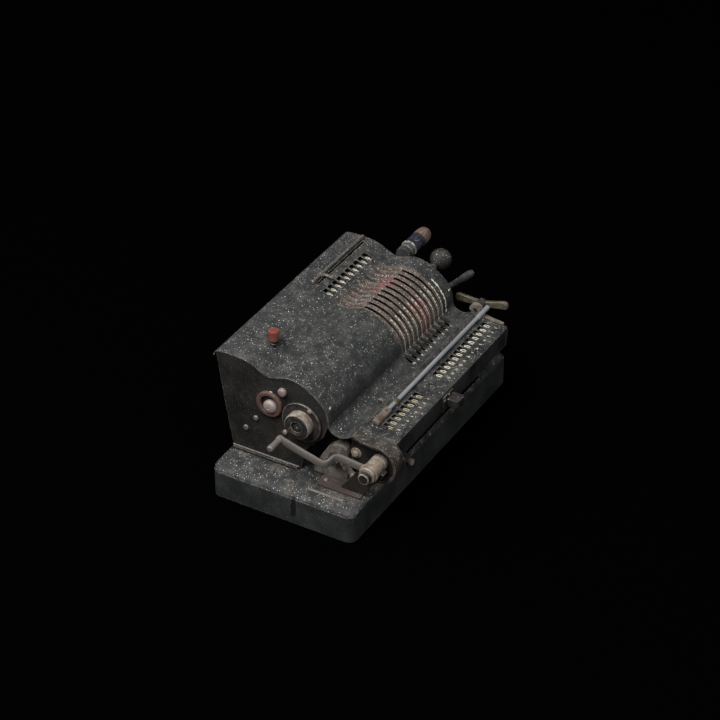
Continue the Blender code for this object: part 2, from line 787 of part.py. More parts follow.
def rail_and_brackets():
    """The rail that the carriage slides on, held by a casting at each end."""
    left = LEFT_INNER + GAP
    right = RIGHT_INNER - GAP
    section = [
        (RAIL_REAR_Y, RAIL_BOTTOM),
        (RAIL_REAR_Y - RAIL_DEPTH, RAIL_BOTTOM),
        (RAIL_REAR_Y - RAIL_DEPTH, RAIL_TOP),
        (RAIL_REAR_Y, RAIL_TOP),
    ]
    piece("carriage_rail", prism(section, left + BRACKET_WIDTH + GAP, right), "worn_steel")
    foot = BASE_HEIGHT + GAP
    rear = RAIL_REAR_Y + GAP + BRACKET_DEPTH
    whole = BRACKET_DEPTH + RAIL_DEPTH
    for side, start, depth, table in (
        ("left", left, whole, LEFT_BRACKET_SHARES),
        ("right", right - BRACKET_WIDTH, BRACKET_DEPTH, BRACKET_SHARES),
    ):
        outline = [(rear - depth * back, foot + (RAIL_TOP - foot) * up) for back, up in table]
        piece(f"{side}_rail_bracket", prism(outline, start, start + BRACKET_WIDTH), "worn_steel")


def bearings():
    bore = SHAFT_RADIUS + RUNNING_GAP
    face = OUTSIDE_LEFT
    hub_end = face - FLANGE_THICKNESS - HUB_REACH
    profile = [
        (face, bore),
        (face, FLANGE_RADIUS),
        (face - FLANGE_THICKNESS, FLANGE_RADIUS),
        (face - FLANGE_THICKNESS, HUB_RADIUS),
        (hub_end, HUB_RADIUS),
        (hub_end, HUB_RECESS_RADIUS),
        (hub_end + HUB_RECESS, HUB_RECESS_RADIUS),
        (hub_end + HUB_RECESS, bore),
    ]
    piece("left_drum_bearing", turned(profile, DRUM_AXIS, ROUND_SIDES), "worn_steel")
    right_end = OUTSIDE_RIGHT + FLANGE_THICKNESS
    flange = link(DRUM_AXIS, CRANK_AXIS, RIGHT_FLANGE_RADIUS, ROUND_SIDES // 4)
    right = piece("right_bearing_plate", prism(flange, OUTSIDE_RIGHT, right_end), "worn_steel")
    through = (OUTSIDE_RIGHT - OVERRUN, right_end + OVERRUN)
    cut(right, rod(*through, bore, DRUM_AXIS))
    cut(right, rod(*through, CRANK_SHAFT_RADIUS + RUNNING_GAP, CRANK_AXIS))
    ring_axis = body_point(RING_SHARES)
    ring_radius = distance(DRUM_AXIS, ring_axis) - FLANGE_RADIUS - RUNNING_GAP
    ring = tube(face - RING_THICKNESS, face, RING_INNER, ring_radius, ring_axis)
    piece("reversing_ring", ring, "rusty_steel")
    shank_end = LEFT_INNER + PLATE_THICKNESS
    bolt = [(face - BOLT_HEAD_HEIGHT * reach, BOLT_HEAD_RADIUS * width) for reach, width in BOLT_HEAD_SHARES]
    bolt += [(face, BOLT_SHANK_RADIUS), (shank_end, BOLT_SHANK_RADIUS), (shank_end, 0)]
    piece("ring_bolt", turned(bolt, ring_axis, SMALL_SIDES), "rusty_steel")


def gear_outline(axis, phase):
    """Straight-sided teeth with room to roll freely on an equal wheel."""
    outline = []
    tip = GEAR_PITCH_RADIUS + GEAR_ADDENDUM
    root = GEAR_PITCH_RADIUS - GEAR_DEDENDUM
    step = math.tau / GEAR_TEETH
    for tooth in range(GEAR_TEETH):
        middle = phase + step * tooth
        half_root = step * TOOTH_ROOT_SHARE / 2
        half_tip = step * TOOTH_TIP_SHARE / 2
        for radius, angle in ((root, -half_root), (tip, -half_tip), (tip, half_tip), (root, half_root)):
            outline.append(circle_point(axis, radius, middle + angle))
    return outline


def gear_place():
    """The X range of the two gears, and the direction from the drum to the crank shaft."""
    start = DRUM_RIGHT + DRUM_FLANGE / 2
    heading = math.atan2(CRANK_AXIS[1] - DRUM_AXIS[1], CRANK_AXIS[0] - DRUM_AXIS[0])
    return start, start + GEAR_WIDTH, heading


def drum():
    """The shaft, and the pinwheel drum with a groove for each setting lever."""
    turning = pivot("drum_turning", (0, *DRUM_AXIS))
    gear_start, gear_end, heading = gear_place()
    left = OUTSIDE_LEFT - FLANGE_THICKNESS - HUB_REACH + HUB_RECESS
    shaft = rod(left, OUTSIDE_RIGHT + FLANGE_THICKNESS, SHAFT_RADIUS, DRUM_AXIS)
    piece("drum_shaft", shaft, "worn_steel", turning)
    bore = SHAFT_RADIUS + GAP
    half = LEVER_GROOVE / 2
    profile = [
        (DRUM_LEFT - DRUM_SLEEVE, bore),
        (DRUM_LEFT - DRUM_SLEEVE, DRUM_SLEEVE_RADIUS),
        (DRUM_LEFT, DRUM_SLEEVE_RADIUS),
        (DRUM_LEFT, DRUM_RADIUS),
    ]
    for x in digit_places(FIRST_DIGIT_X, DIGIT_PITCH, DIGIT_COUNT):
        profile += [(x - half, DRUM_RADIUS), (x - half, DRUM_HUB_RADIUS)]
        profile += [(x + half, DRUM_HUB_RADIUS), (x + half, DRUM_RADIUS)]
    profile += [(DRUM_RIGHT, DRUM_RADIUS), (DRUM_RIGHT, DRUM_SLEEVE_RADIUS)]
    profile += [(gear_end, DRUM_SLEEVE_RADIUS), (gear_end, bore)]
    wheels = piece("pinwheel_drum", turned(profile, DRUM_AXIS, WHEEL_SIDES), "worn_steel", turning)
    gear = prism(gear_outline(DRUM_AXIS, heading), gear_start, gear_end - GAP)
    join(wheels, gear)
    gear_bore = SHAFT_RADIUS + GAP
    cut(wheels, rod(DRUM_RIGHT, gear_end + OVERRUN, gear_bore, DRUM_AXIS))
    for number, x in enumerate(digit_places(FIRST_DIGIT_X, DIGIT_PITCH, DIGIT_COUNT), 1):
        setting_lever(number, x, turning)


def setting_lever(number, x, turning):
    """A ring that turns in the drum's groove, with a tab that stands out through the cover's slot."""
    bore = DRUM_HUB_RADIUS + GAP
    half_tab = math.asin(LEVER_TAB / 2 / LEVER_RING)
    tip_centre = circle_point(DRUM_AXIS, LEVER_REACH - LEVER_TIP_ROUND, LEVER_REST)
    tip = arc(tip_centre, LEVER_TIP_ROUND, LEVER_REST - math.pi / 2, LEVER_REST + math.pi / 2, CORNER_STEPS)
    rim = arc(
        DRUM_AXIS,
        LEVER_RING,
        LEVER_REST + half_tab,
        LEVER_REST + math.tau - half_tab,
        WHEEL_SIDES,
    )
    outer = tip + rim
    inner = []
    for y, z in outer:
        angle = math.atan2(z - DRUM_AXIS[1], y - DRUM_AXIS[0])
        inner.append(angle)
    turns = even_angles(inner)
    bm = bmesh.new()
    sides = []
    for place in (x - LEVER_THICKNESS / 2, x + LEVER_THICKNESS / 2):
        rim_verts = [bm.verts.new((place, *point)) for point in outer]
        bore_verts = [bm.verts.new((place, *circle_point(DRUM_AXIS, bore, turn))) for turn in turns]
        sides.append((rim_verts, bore_verts))
    count = len(outer)
    for i in range(count):
        j = (i + 1) % count
        for rim_verts, bore_verts in sides:
            bm.faces.new((rim_verts[i], rim_verts[j], bore_verts[j], bore_verts[i]))
        for k in range(2):
            bm.faces.new((sides[0][k][i], sides[0][k][j], sides[1][k][j], sides[1][k][i]))
    axis = pivot(f"setting_lever_{number:02d}_axis", (x, *DRUM_AXIS), turning)
    piece(f"setting_lever_{number:02d}", closed(bm), "worn_steel", axis)


def even_angles(angles):
    """As many angles evenly round the circle, starting where the first one does."""
    count = len(angles)
    return [angles[0] + math.tau * i / count for i in range(count)]


def crank():
    """The geared shaft, the arm with its pin, the turning grip and the ball lever."""
    turning = pivot("crank_turning", (0, *CRANK_AXIS))
    gear_start, gear_end, heading = gear_place()
    arm_start = OUTSIDE_RIGHT + FLANGE_THICKNESS + CRANK_PLATE_GAP
    arm_end = arm_start + CRANK_ARM_THICKNESS
    boss_end = arm_start + CRANK_BOSS_REACH
    shaft = piece(
        "crank_shaft",
        rod(gear_start - GEAR_WIDTH / 2, boss_end, CRANK_SHAFT_RADIUS, CRANK_AXIS),
        "worn_steel",
        turning,
    )
    phase = heading + math.pi + math.pi / GEAR_TEETH
    join(shaft, prism(gear_outline(CRANK_AXIS, phase), gear_start, gear_end))
    rest = math.pi / 2 + CRANK_LEAN
    eye = circle_point(CRANK_AXIS, CRANK_THROW, rest)
    arm_outline = tapered_link(CRANK_AXIS, CRANK_HUB_RADIUS, eye, CRANK_EYE_RADIUS)
    arm = piece("crank_arm", prism(arm_outline, arm_start, arm_end), "black_paint", turning)
    overlap = arm_end - CASTING_OVERLAP
    join(arm, rod(arm_start + CASTING_OVERLAP, boss_end, CRANK_BOSS_RADIUS, CRANK_AXIS, ROUND_SIDES))
    pin_end = arm_end + HANDLE_LENGTH - HANDLE_WALL
    join(arm, rod(overlap, pin_end - RUNNING_GAP, HANDLE_PIN_RADIUS, eye))
    shaft_bore = CRANK_SHAFT_RADIUS + GAP
    cut(arm, rod(arm_start - OVERRUN, boss_end + OVERRUN, shaft_bore, CRANK_AXIS))
    grip_start = arm_end + RUNNING_GAP
    profile = [(grip_start, HANDLE_PIN_RADIUS + GAP)]
    profile += [(grip_start + HANDLE_LENGTH * x, HANDLE_RADIUS * radius) for x, radius in HANDLE_SHARES]
    profile += [(grip_start + HANDLE_LENGTH, 0)]
    profile = [(pin_end, 0), (pin_end, HANDLE_PIN_RADIUS + GAP), *profile]
    grip_axis = pivot("crank_handle_axis", (arm_end, *eye), turning)
    piece("crank_handle", turned(profile, eye, ROUND_SIDES), "dark_grip", grip_axis)
    ball_lever(turning, arm_end)


def tapered_link(start, start_radius, end, end_radius):
    heading = math.atan2(end[1] - start[1], end[0] - start[0])
    quarter = math.pi / 2
    far = arc(end, end_radius, heading - quarter, heading + quarter, 2 * CORNER_STEPS)
    near = arc(start, start_radius, heading + quarter, heading + 3 * quarter, 2 * CORNER_STEPS)
    return far + near


def ball_lever(turning, arm_end):
    start = arm_end + RUNNING_GAP * 2
    end = start + BALL_LEVER_THICKNESS
    centre = circle_point(CRANK_AXIS, BALL_THROW, BALL_ANGLE)
    axis = pivot("setting_clear_lever_axis", (start, *CRANK_AXIS), turning)
    ring = tapered_link(CRANK_AXIS, BALL_LEVER_RING, centre, BALL_ARM_WIDTH / 2)
    lever = piece("setting_clear_lever", prism(ring, start, end), "black_paint", axis)
    ball_x = end + BALL_REACH
    profile = [(end - CASTING_OVERLAP, 0), (end - CASTING_OVERLAP, BALL_STEM_RADIUS)]
    stem_angle = math.pi - math.asin(BALL_STEM_RADIUS / BALL_RADIUS)
    for i in range(2 * CORNER_STEPS + 1):
        angle = stem_angle * (1 - i / (2 * CORNER_STEPS))
        profile.append((ball_x + BALL_RADIUS * math.cos(angle), BALL_RADIUS * math.sin(angle)))
    profile[-1] = (ball_x + BALL_RADIUS, 0)
    join(lever, turned(profile, centre, WHEEL_SIDES))
    cut(lever, rod(start - OVERRUN, end + OVERRUN, CRANK_BOSS_RADIUS + GAP, CRANK_AXIS, ROUND_SIDES))


def release_lever():
    """The slender lever in front of the crank, which turns on the right plate."""
    centre = body_point(RELEASE_SHARES)
    axis = pivot("release_lever_axis", (OUTSIDE_RIGHT, *centre))
    boss_end = OUTSIDE_RIGHT + RELEASE_BOSS_REACH + RELEASE_RADIUS
    boss = rod(OUTSIDE_RIGHT, boss_end, RELEASE_BOSS_RADIUS, centre)
    lever = piece("release_lever", boss, "black_paint", axis)
    start = Vector((OUTSIDE_RIGHT + RELEASE_BOSS_REACH, *centre))
    run = Vector((RELEASE_LEAN, -RELEASE_FORWARD, RELEASE_RISE))
    join(lever, tapered_bar(start, run, RELEASE_RADIUS, RELEASE_GRIP_SHARES))


def tapered_bar(start, run, radius, shares):
    """A round bar along any direction, from shares of its length and radius."""
    turn = run.to_track_quat("Z", "X")
    bm = bmesh.new()
    rings = []
    for along, width in shares:
        ring = [
            bm.verts.new(start + run * along + turn @ Vector((*point, 0)))
            for point in arc((0, 0), radius * width, 0, math.tau, SMALL_SIDES)[:-1]
        ]
        rings.append(ring)
    for low, high in zip(rings, rings[1:]):
        for i in range(SMALL_SIDES):
            j = (i + 1) % SMALL_SIDES
            bm.faces.new((low[i], low[j], high[j], high[i]))
    bm.faces.new(rings[0])
    bm.faces.new(rings[-1])
    return closed(bm)


def check_register():
    """Ten numbered wheels on one shaft, seen through the windows in the cover."""
    shaft = rod(LEFT_INNER + GAP, RIGHT_INNER - GAP, CHECK_SHAFT_RADIUS, CHECK_AXIS)
    piece("check_shaft", shaft, "worn_steel")
    half = CHECK_WIDTH / 2
    for number, x in enumerate(digit_places(FIRST_DIGIT_X, DIGIT_PITCH, DIGIT_COUNT), 1):
        profile = [
            (x - half, CHECK_BORE),
            (x - half, CHECK_RADIUS - CHECK_RIM),
            (x - half + CHECK_RIM / 2, CHECK_RADIUS),
            (x + half - CHECK_RIM / 2, CHECK_RADIUS),
            (x + half, CHECK_RADIUS - CHECK_RIM),
            (x + half, CHECK_BORE),
        ]
        axis = pivot(f"check_wheel_{number:02d}_axis", (x, *CHECK_AXIS))
        wheel = turned(profile, CHECK_AXIS, WHEEL_SIDES)
        piece(f"check_wheel_{number:02d}", wheel, "white_dial", axis)


def rear_decimal_rod():
    """A thin rod on two feet, and the pointer that slides along it."""
    y = body_point((ROD_SHARE, 0))[0]
    half_foot = ROD_FOOT_DEPTH / 2
    floor = max(surface_height(COVER_OUTLINE, y - half_foot), surface_height(COVER_OUTLINE, y + half_foot))
    axis = (y, floor + GAP + ROD_LIFT + ROD_RADIUS)
    rail = piece("rear_decimal_rod", rod(ROD_LEFT_X, ROD_RIGHT_X, ROD_RADIUS, axis, ROD_SIDES), "worn_steel")
    foot_top = axis[1] + ROD_RADIUS / 2
    feet = [
        ((start, start + ROD_FOOT_LENGTH), (y - half_foot, y + half_foot), (floor + GAP, foot_top))
        for start in (ROD_LEFT_X - ROD_FOOT_OVERLAP, ROD_RIGHT_X - ROD_FOOT_LENGTH + ROD_FOOT_OVERLAP)
    ]
    join(rail, blocks(feet))
    sliding = pivot("rear_pointer_slide", (POINTER_X, *axis))
    inner = ROD_RADIUS + GAP
    outer = inner + POINTER_THICKNESS
    clip = arc(axis, outer, 0, math.pi, CORNER_STEPS * 2)
    tip = axis[0] - outer - POINTER_REACH
    tongue = [(tip, axis[1]), (tip, axis[1] + outer / 2)]
    hollow = arc(axis, inner, math.pi, 0, CORNER_STEPS * 2)
    clip = clip[:-2] + tongue[::-1] + hollow
    piece("rear_pointer", prism(clip, POINTER_X, POINTER_X + POINTER_WIDTH), "worn_steel", sliding)


def reversing_knob():
    """The red knob on the cover's rear top, which turns in its hole."""
    y = body_point((KNOB_SHARE, 0))[0]
    top = surface_height(COVER_OUTLINE, y - KNOB_COLLAR_RADIUS)
    top = max(top, surface_height(COVER_OUTLINE, y + KNOB_COLLAR_RADIUS)) + GAP
    foot = top - KNOB_STEM_BELOW
    knob_foot = top + KNOB_STEM_LENGTH - KNOB_HEIGHT
    knob_top = top + KNOB_STEM_LENGTH
    chamfer = KNOB_RADIUS * KNOB_CHAMFER_SHARE
    profile = [
        (0, foot),
        (KNOB_STEM_RADIUS, foot),
        (KNOB_STEM_RADIUS, top),
        (KNOB_COLLAR_RADIUS, top),
        (KNOB_COLLAR_RADIUS, top + KNOB_COLLAR_HEIGHT),
        (KNOB_RADIUS - chamfer, knob_foot + chamfer),
        (KNOB_RADIUS, knob_foot + 2 * chamfer),
        (KNOB_RADIUS, knob_top - chamfer),
        (KNOB_RADIUS - chamfer, knob_top),
        (0, knob_top),
    ]
    axis = pivot("reversing_knob_axis", (KNOB_X, y, top))
    piece("reversing_knob", pillar(profile, (KNOB_X, y), SMALL_SIDES), "red_knob", axis)


def carriage_top():
    return [carriage_point(shares) for shares in CARRIAGE_SHARES]


def carriage():
    """The sliding front carriage: a bent sheet with windows, two ends, a saddle and two registers."""
    sliding = pivot("carriage_slide", (CARRIAGE_LEFT, RAIL_REAR_Y - RAIL_DEPTH, RAIL_TOP))
    inner_left = CHEEK_RIGHT + GAP
    inner_right = END_PLATE_LEFT - GAP
    outline = carriage_top()
    under = [(min(y, CARRIAGE_REAR_Y), z) for y, z in inset(outline, CARRIAGE_SHEET)]
    section = outline + under[::-1]
    housing = piece("carriage_housing", prism(section, inner_left, inner_right), "black_paint", sliding)
    window_y = carriage_point((WINDOW_SHARE, 0))[0]
    floor, above = REGISTER_AXIS[1], carriage_point((0, 1))[1] + OVERRUN
    places = digit_places(RESULT_FIRST_X, REGISTER_PITCH, RESULT_COUNT)
    places += digit_places(COUNTER_FIRST_X, REGISTER_PITCH, COUNTER_COUNT)
    half = WINDOW_WIDTH / 2
    y_range = (window_y - WINDOW_LENGTH / 2, window_y + WINDOW_LENGTH / 2)
    cut(housing, blocks([((x - half, x + half), y_range, (floor, above)) for x in places]))
    shift_key(sliding, housing)
    carriage_ends(sliding)
    saddle(sliding, inner_left, inner_right)
    shaft = rod(inner_left, inner_right, REGISTER_SHAFT_RADIUS, REGISTER_AXIS)
    piece("register_shaft", shaft, "worn_steel", sliding)
    number_wheels("result_number_wheels", RESULT_FIRST_X, RESULT_COUNT, sliding)
    number_wheels("counter_number_wheels", COUNTER_FIRST_X, COUNTER_COUNT, sliding)
    decimal_bar(sliding)
    wing_nut(sliding)


def number_wheels(name, first, count, sliding):
    """Numbered wheels side by side on one sleeve."""
    half = (REGISTER_PITCH - REGISTER_GROOVE) / 2
    profile = []
    places = digit_places(first, REGISTER_PITCH, count)
    for x in places:
        profile += [(x - half, REGISTER_CORE), (x - half, REGISTER_WHEEL_RADIUS)]
        profile += [(x + half, REGISTER_WHEEL_RADIUS), (x + half, REGISTER_CORE)]
    profile[0] = (places[0] - half, REGISTER_BORE)
    profile[-1] = (places[-1] + half, REGISTER_BORE)
    axis = pivot(f"{name}_axis", (first, *REGISTER_AXIS), sliding)
    piece(name, turned(profile, REGISTER_AXIS, WHEEL_SIDES), "white_dial", axis)


def cheek_outline(radius, drop):
    """The rounded end of the carriage, from its rear top edge over the front to its underside."""
    top = [carriage_point(shares) for shares in CARRIAGE_SHARES[:2]]
    top = [(y, z - drop) for y, z in top]
    return top + arc(CHEEK_CENTRE, radius, CHEEK_TOP_ANGLE, CHEEK_END_ANGLE, 4 * CORNER_STEPS)


def carriage_ends(sliding):
    rear = [carriage_point(shares) for shares in CHEEK_REAR_SHARES]
    rear_limit = RAIL_REAR_Y - RAIL_DEPTH - SADDLE_REAR_INSET
    rear = [(min(y, rear_limit), z) for y, z in rear]
    outline = cheek_outline(CHEEK_RADIUS, 0) + rear
    cheek = piece("carriage_left_cheek", prism(outline, CARRIAGE_LEFT, CHEEK_RIGHT), "black_paint", sliding)
    hollow = cheek_outline(CHEEK_RADIUS - CARRIAGE_SHEET, CARRIAGE_SHEET)
    low = carriage_point((0, CHEEK_OPEN_SHARE))[1]
    behind = rear_limit + OVERRUN
    first = (behind, hollow[0][1] + (hollow[0][1] - hollow[1][1]) / 2)
    hollow = [first, *hollow, (hollow[-1][0], low), (behind, low)]
    cut(cheek, prism(hollow, CARRIAGE_LEFT - OVERRUN, CHEEK_RIGHT - CHEEK_WALL))
    plate = carriage_top() + [carriage_point(END_PLATE_FOOT_SHARES), *rear]
    right = piece("carriage_right_end", prism(plate, END_PLATE_LEFT, CARRIAGE_RIGHT), "black_paint", sliding)
    sleeve = BAR_SLEEVE_RADIUS + GAP
    cut(right, rod(END_PLATE_LEFT - OVERRUN, CARRIAGE_RIGHT + OVERRUN, sleeve, BAR_AXIS))


def saddle(sliding, inner_left, inner_right):
    """The channel that wraps the rail's front."""
    web_rear = RAIL_REAR_Y - RAIL_DEPTH - SADDLE_REAR_INSET + GAP
    web_front = web_rear - SADDLE_WEB
    lip_rear = web_rear + SADDLE_LIP_REACH
    top_low = RAIL_TOP + RUNNING_GAP
    bottom_high = RAIL_BOTTOM - RUNNING_GAP
    section = [
        (web_front, bottom_high - SADDLE_LIP),
        (lip_rear, bottom_high - SADDLE_LIP),
        (lip_rear, bottom_high),
        (web_rear, bottom_high),
        (web_rear, top_low),
        (lip_rear, top_low),
        (lip_rear, top_low + SADDLE_LIP),
        (web_rear, top_low + SADDLE_LIP),
        (web_rear, RAIL_TOP + SADDLE_RISE),
        (web_front, RAIL_TOP + SADDLE_RISE),
    ]
    piece("carriage_saddle", prism(section, inner_left, inner_right), "worn_steel", sliding)


def shift_key(sliding, housing):
    """The key on the carriage's front: its stem moves down in a slot."""
    top = carriage_point((1, KEY_TOP_SHARE))[1]
    low = top - KEY_THICKNESS
    rear = carriage_point((1, 0))[0] - GAP
    front = rear - KEY_DEPTH
    half_width = KEY_WIDTH / 2
    corner = KEY_WIDTH * KEY_CORNER_SHARE
    plate_front = rear - KEY_PLATE_THICKNESS
    outline = [
        (KEY_X - half_width, plate_front + CASTING_OVERLAP),
        (KEY_X - half_width, front + corner),
        (KEY_X - half_width + corner, front),
        (KEY_X + half_width - corner, front),
        (KEY_X + half_width, front + corner),
        (KEY_X + half_width, plate_front + CASTING_OVERLAP),
    ]
    middle = (top + low) / 2
    moving = pivot("carriage_shift_key_slide", (KEY_X, rear, middle), sliding)
    key = piece("carriage_shift_key", slab(outline, low, top), "black_paint", moving)
    plate = block(
        (KEY_X - KEY_PLATE_LEFT, KEY_X + KEY_PLATE_RIGHT),
        (plate_front, rear),
        (low + CASTING_OVERLAP, top + KEY_PLATE_RISE),
    )
    join(key, plate)
    half = KEY_STEM_WIDTH / 2
    stem_rear = rear + GAP + KEY_STEM_LENGTH
    half_height = KEY_STEM_HEIGHT / 2
    stem = block(
        (KEY_X - half, KEY_X + half),
        (rear - CASTING_OVERLAP, stem_rear),
        (middle - half_height, middle + half_height),
    )
    join(key, stem)
    slot = block(
        (KEY_X - half - RUNNING_GAP, KEY_X + half + RUNNING_GAP),
        (rear - OVERRUN, stem_rear + OVERRUN),
        (middle - half_height - KEY_TRAVEL - RUNNING_GAP, middle + half_height + RUNNING_GAP),
    )
    cut(housing, slot)


def decimal_bar(sliding):
    """The bright bar over the carriage: a clamp at its left, a sleeve at its right, a sliding marker."""
    sleeve_end = COVER_RIGHT + GAP + NUT_BRACKET_THICKNESS + NUT_DOME_LENGTH - RUNNING_GAP
    profile = [
        (BAR_LEFT_X, 0),
        (BAR_LEFT_X, BAR_RADIUS),
        (BAR_RIGHT_X, BAR_RADIUS),
        (BAR_RIGHT_X, BAR_SLEEVE_RADIUS),
        (sleeve_end, BAR_SLEEVE_RADIUS),
        (sleeve_end, 0),
    ]
    bar = piece("decimal_bar", turned(profile, BAR_AXIS, SMALL_SIDES), "worn_steel", sliding)
    half = BAR_CLAMP_DEPTH / 2
    top = carriage_top()
    places = (BAR_AXIS[0] + half, BAR_AXIS[0] - half)
    low = [(y, surface_height(top, y) + BAR_CLAMP_LIFT) for y in places]
    high = [(y, z + BAR_CLAMP_HEIGHT) for y, z in reversed(low)]
    clamp_end = BAR_LEFT_X + BAR_RADIUS
    join(bar, prism(low + high, clamp_end - BAR_CLAMP_LENGTH, clamp_end))
    moving = pivot("decimal_marker_slide", (MARKER_X, *BAR_AXIS), sliding)
    inner = BAR_RADIUS + GAP
    clip = arc(BAR_AXIS, inner + MARKER_WALL, 0, math.pi, 2 * CORNER_STEPS)
    clip += arc(BAR_AXIS, inner, math.pi, 0, 2 * CORNER_STEPS)
    piece("decimal_marker", prism(clip, MARKER_X, MARKER_X + MARKER_LENGTH), "tarnished_brass", moving)


def wing_nut(sliding):
    """The bracket on the carriage's right end, and the wing nut that turns in it."""
    start = COVER_RIGHT + GAP
    end = start + NUT_BRACKET_THICKNESS
    shares = [carriage_point(pair) for pair in NUT_BRACKET_SHARES]
    ear = arc(NUT_AXIS, NUT_EAR, math.pi, 0, 2 * CORNER_STEPS)
    ear = [point for point in ear if point[0] > BAR_AXIS[0] + BAR_SLEEVE_RADIUS + GAP]
    bracket = piece("wing_nut_bracket", prism(shares + ear, start, end), "rusty_steel", sliding)
    foot = [carriage_point(pair) for pair in NUT_FOOT_SHARES]
    join(bracket, prism(foot, CARRIAGE_RIGHT + GAP, start + CASTING_OVERLAP))
    through = (CARRIAGE_RIGHT - OVERRUN, end + OVERRUN)
    cut(bracket, rod(*through, NUT_SPINDLE_RADIUS + GAP, NUT_AXIS))
    cut(bracket, rod(*through, BAR_SLEEVE_RADIUS + GAP, BAR_AXIS))
    turning = pivot("wing_nut_axis", (end, *NUT_AXIS), sliding)
    dome_start = end + GAP
    dome_end = dome_start + NUT_DOME_LENGTH
    crown = NUT_DOME_RADIUS * NUT_CROWN_SHARE
    profile = [
        (start + GAP, 0),
        (start + GAP, NUT_SPINDLE_RADIUS),
        (dome_start, NUT_SPINDLE_RADIUS),
        (dome_start, NUT_DOME_RADIUS),
        (dome_end + NUT_WING_THICKNESS, NUT_DOME_RADIUS),
        (dome_end + NUT_WING_THICKNESS + crown, NUT_DOME_RADIUS / 2),
        (dome_end + NUT_WING_THICKNESS + crown, 0),
    ]
    nut = piece("wing_nut", turned(profile, NUT_AXIS, SMALL_SIDES), "tarnished_brass", turning)
    join(nut, prism(wing_outline(), dome_end, dome_end + NUT_WING_THICKNESS))


def wing_outline():
    """Two paddles that widen towards their tips, tipped a little upwards."""
    y, z = NUT_AXIS
    tip = NUT_SPAN
    low_root, low_tip = -NUT_ROOT_HALF, NUT_TIP_RISE - NUT_TIP_HALF
    high_root, high_tip = NUT_ROOT_HALF, NUT_TIP_RISE + NUT_TIP_HALF / 2
    shoulder = NUT_SPAN - NUT_TIP_HALF / 2
    side = [(shoulder, low_tip), (tip, NUT_TIP_RISE - NUT_TIP_HALF / 2), (tip, high_tip - NUT_TIP_HALF / 4)]
    side += [(shoulder, high_tip)]
    rear = side
    front = [(-run, rise) for run, rise in reversed(side)]
    level = [(0, low_root), *rear, (0, high_root), *front]
    lean = (math.cos(NUT_REST), math.sin(NUT_REST))
    return [(y + run * lean[0] - rise * lean[1], z + run * lean[1] + rise * lean[0]) for run, rise in level]


def clearing_gear():
    """The clearing drum on its pedestal, and the bent crank that turns it."""
    body_start = CARRIAGE_LEFT + CHEEK_WIDTH - CHEEK_WALL - GAP
    body_end = body_start - CLEARING_LENGTH
    link_start = body_end - GAP
    link_end = link_start - LINK_THICKNESS
    ring_start = link_end - GAP
    ring_end = ring_start - CLEARING_RING_LENGTH
    tip = ring_start - CLEARING_END_LENGTH
    turning = pivot("clearing_turning", (link_start, *CHEEK_CENTRE))
    profile = [
        (body_start, 0),
        (body_start, CLEARING_RADIUS),
        (body_end, CLEARING_RADIUS),
        (body_end, CLEARING_SPINDLE),
        (ring_start, CLEARING_SPINDLE),
        (ring_start, CLEARING_RING),
        (ring_end, CLEARING_RING),
        (ring_end, CLEARING_RADIUS),
        (ring_end - CLEARING_RING_LENGTH, CLEARING_RADIUS),
        (ring_end - CLEARING_RING_LENGTH, CLEARING_END_RADIUS),
        (tip, CLEARING_END_RADIUS),
        (tip, 0),
    ]
    piece("clearing_drum", turned(profile, CHEEK_CENTRE, WHEEL_SIDES), "worn_steel", turning)
    y, z = CHEEK_CENTRE
    knee = (y + LINK_INNER_RUN, z + LINK_INNER_RISE)
    end = (y + LINK_OUTER_RUN, z + LINK_OUTER_RISE)
    inner = link(CHEEK_CENTRE, knee, LINK_HALF)
    bar = prism(inner, link_end + RUNNING_GAP, link_start - RUNNING_GAP)
    crank_bar = piece("clearing_crank", bar, "worn_steel", turning)
    join(crank_bar, rod(link_end, link_start, LINK_HUB, CHEEK_CENTRE, WHEEL_SIDES))
    outer_start = link_end - LINK_JOGGLE
    outer_end = outer_start - LINK_THICKNESS
    joggle = (link_end + 2 * CASTING_OVERLAP, outer_start - CASTING_OVERLAP)
    join(crank_bar, rod(*joggle, LINK_HALF - CASTING_OVERLAP, knee))
    join(crank_bar, prism(link(knee, end, LINK_HALF), outer_end, outer_start))
    pin = (outer_start - CASTING_OVERLAP, outer_end - LINK_PIN_LENGTH)
    join(crank_bar, rod(*pin, LINK_PIN_RADIUS - CASTING_OVERLAP / 2, end))
    bore = CLEARING_SPINDLE + GAP
    cut(crank_bar, rod(link_end - OVERRUN, link_start + OVERRUN, bore, CHEEK_CENTRE))
    pedestal(body_end + GAP)


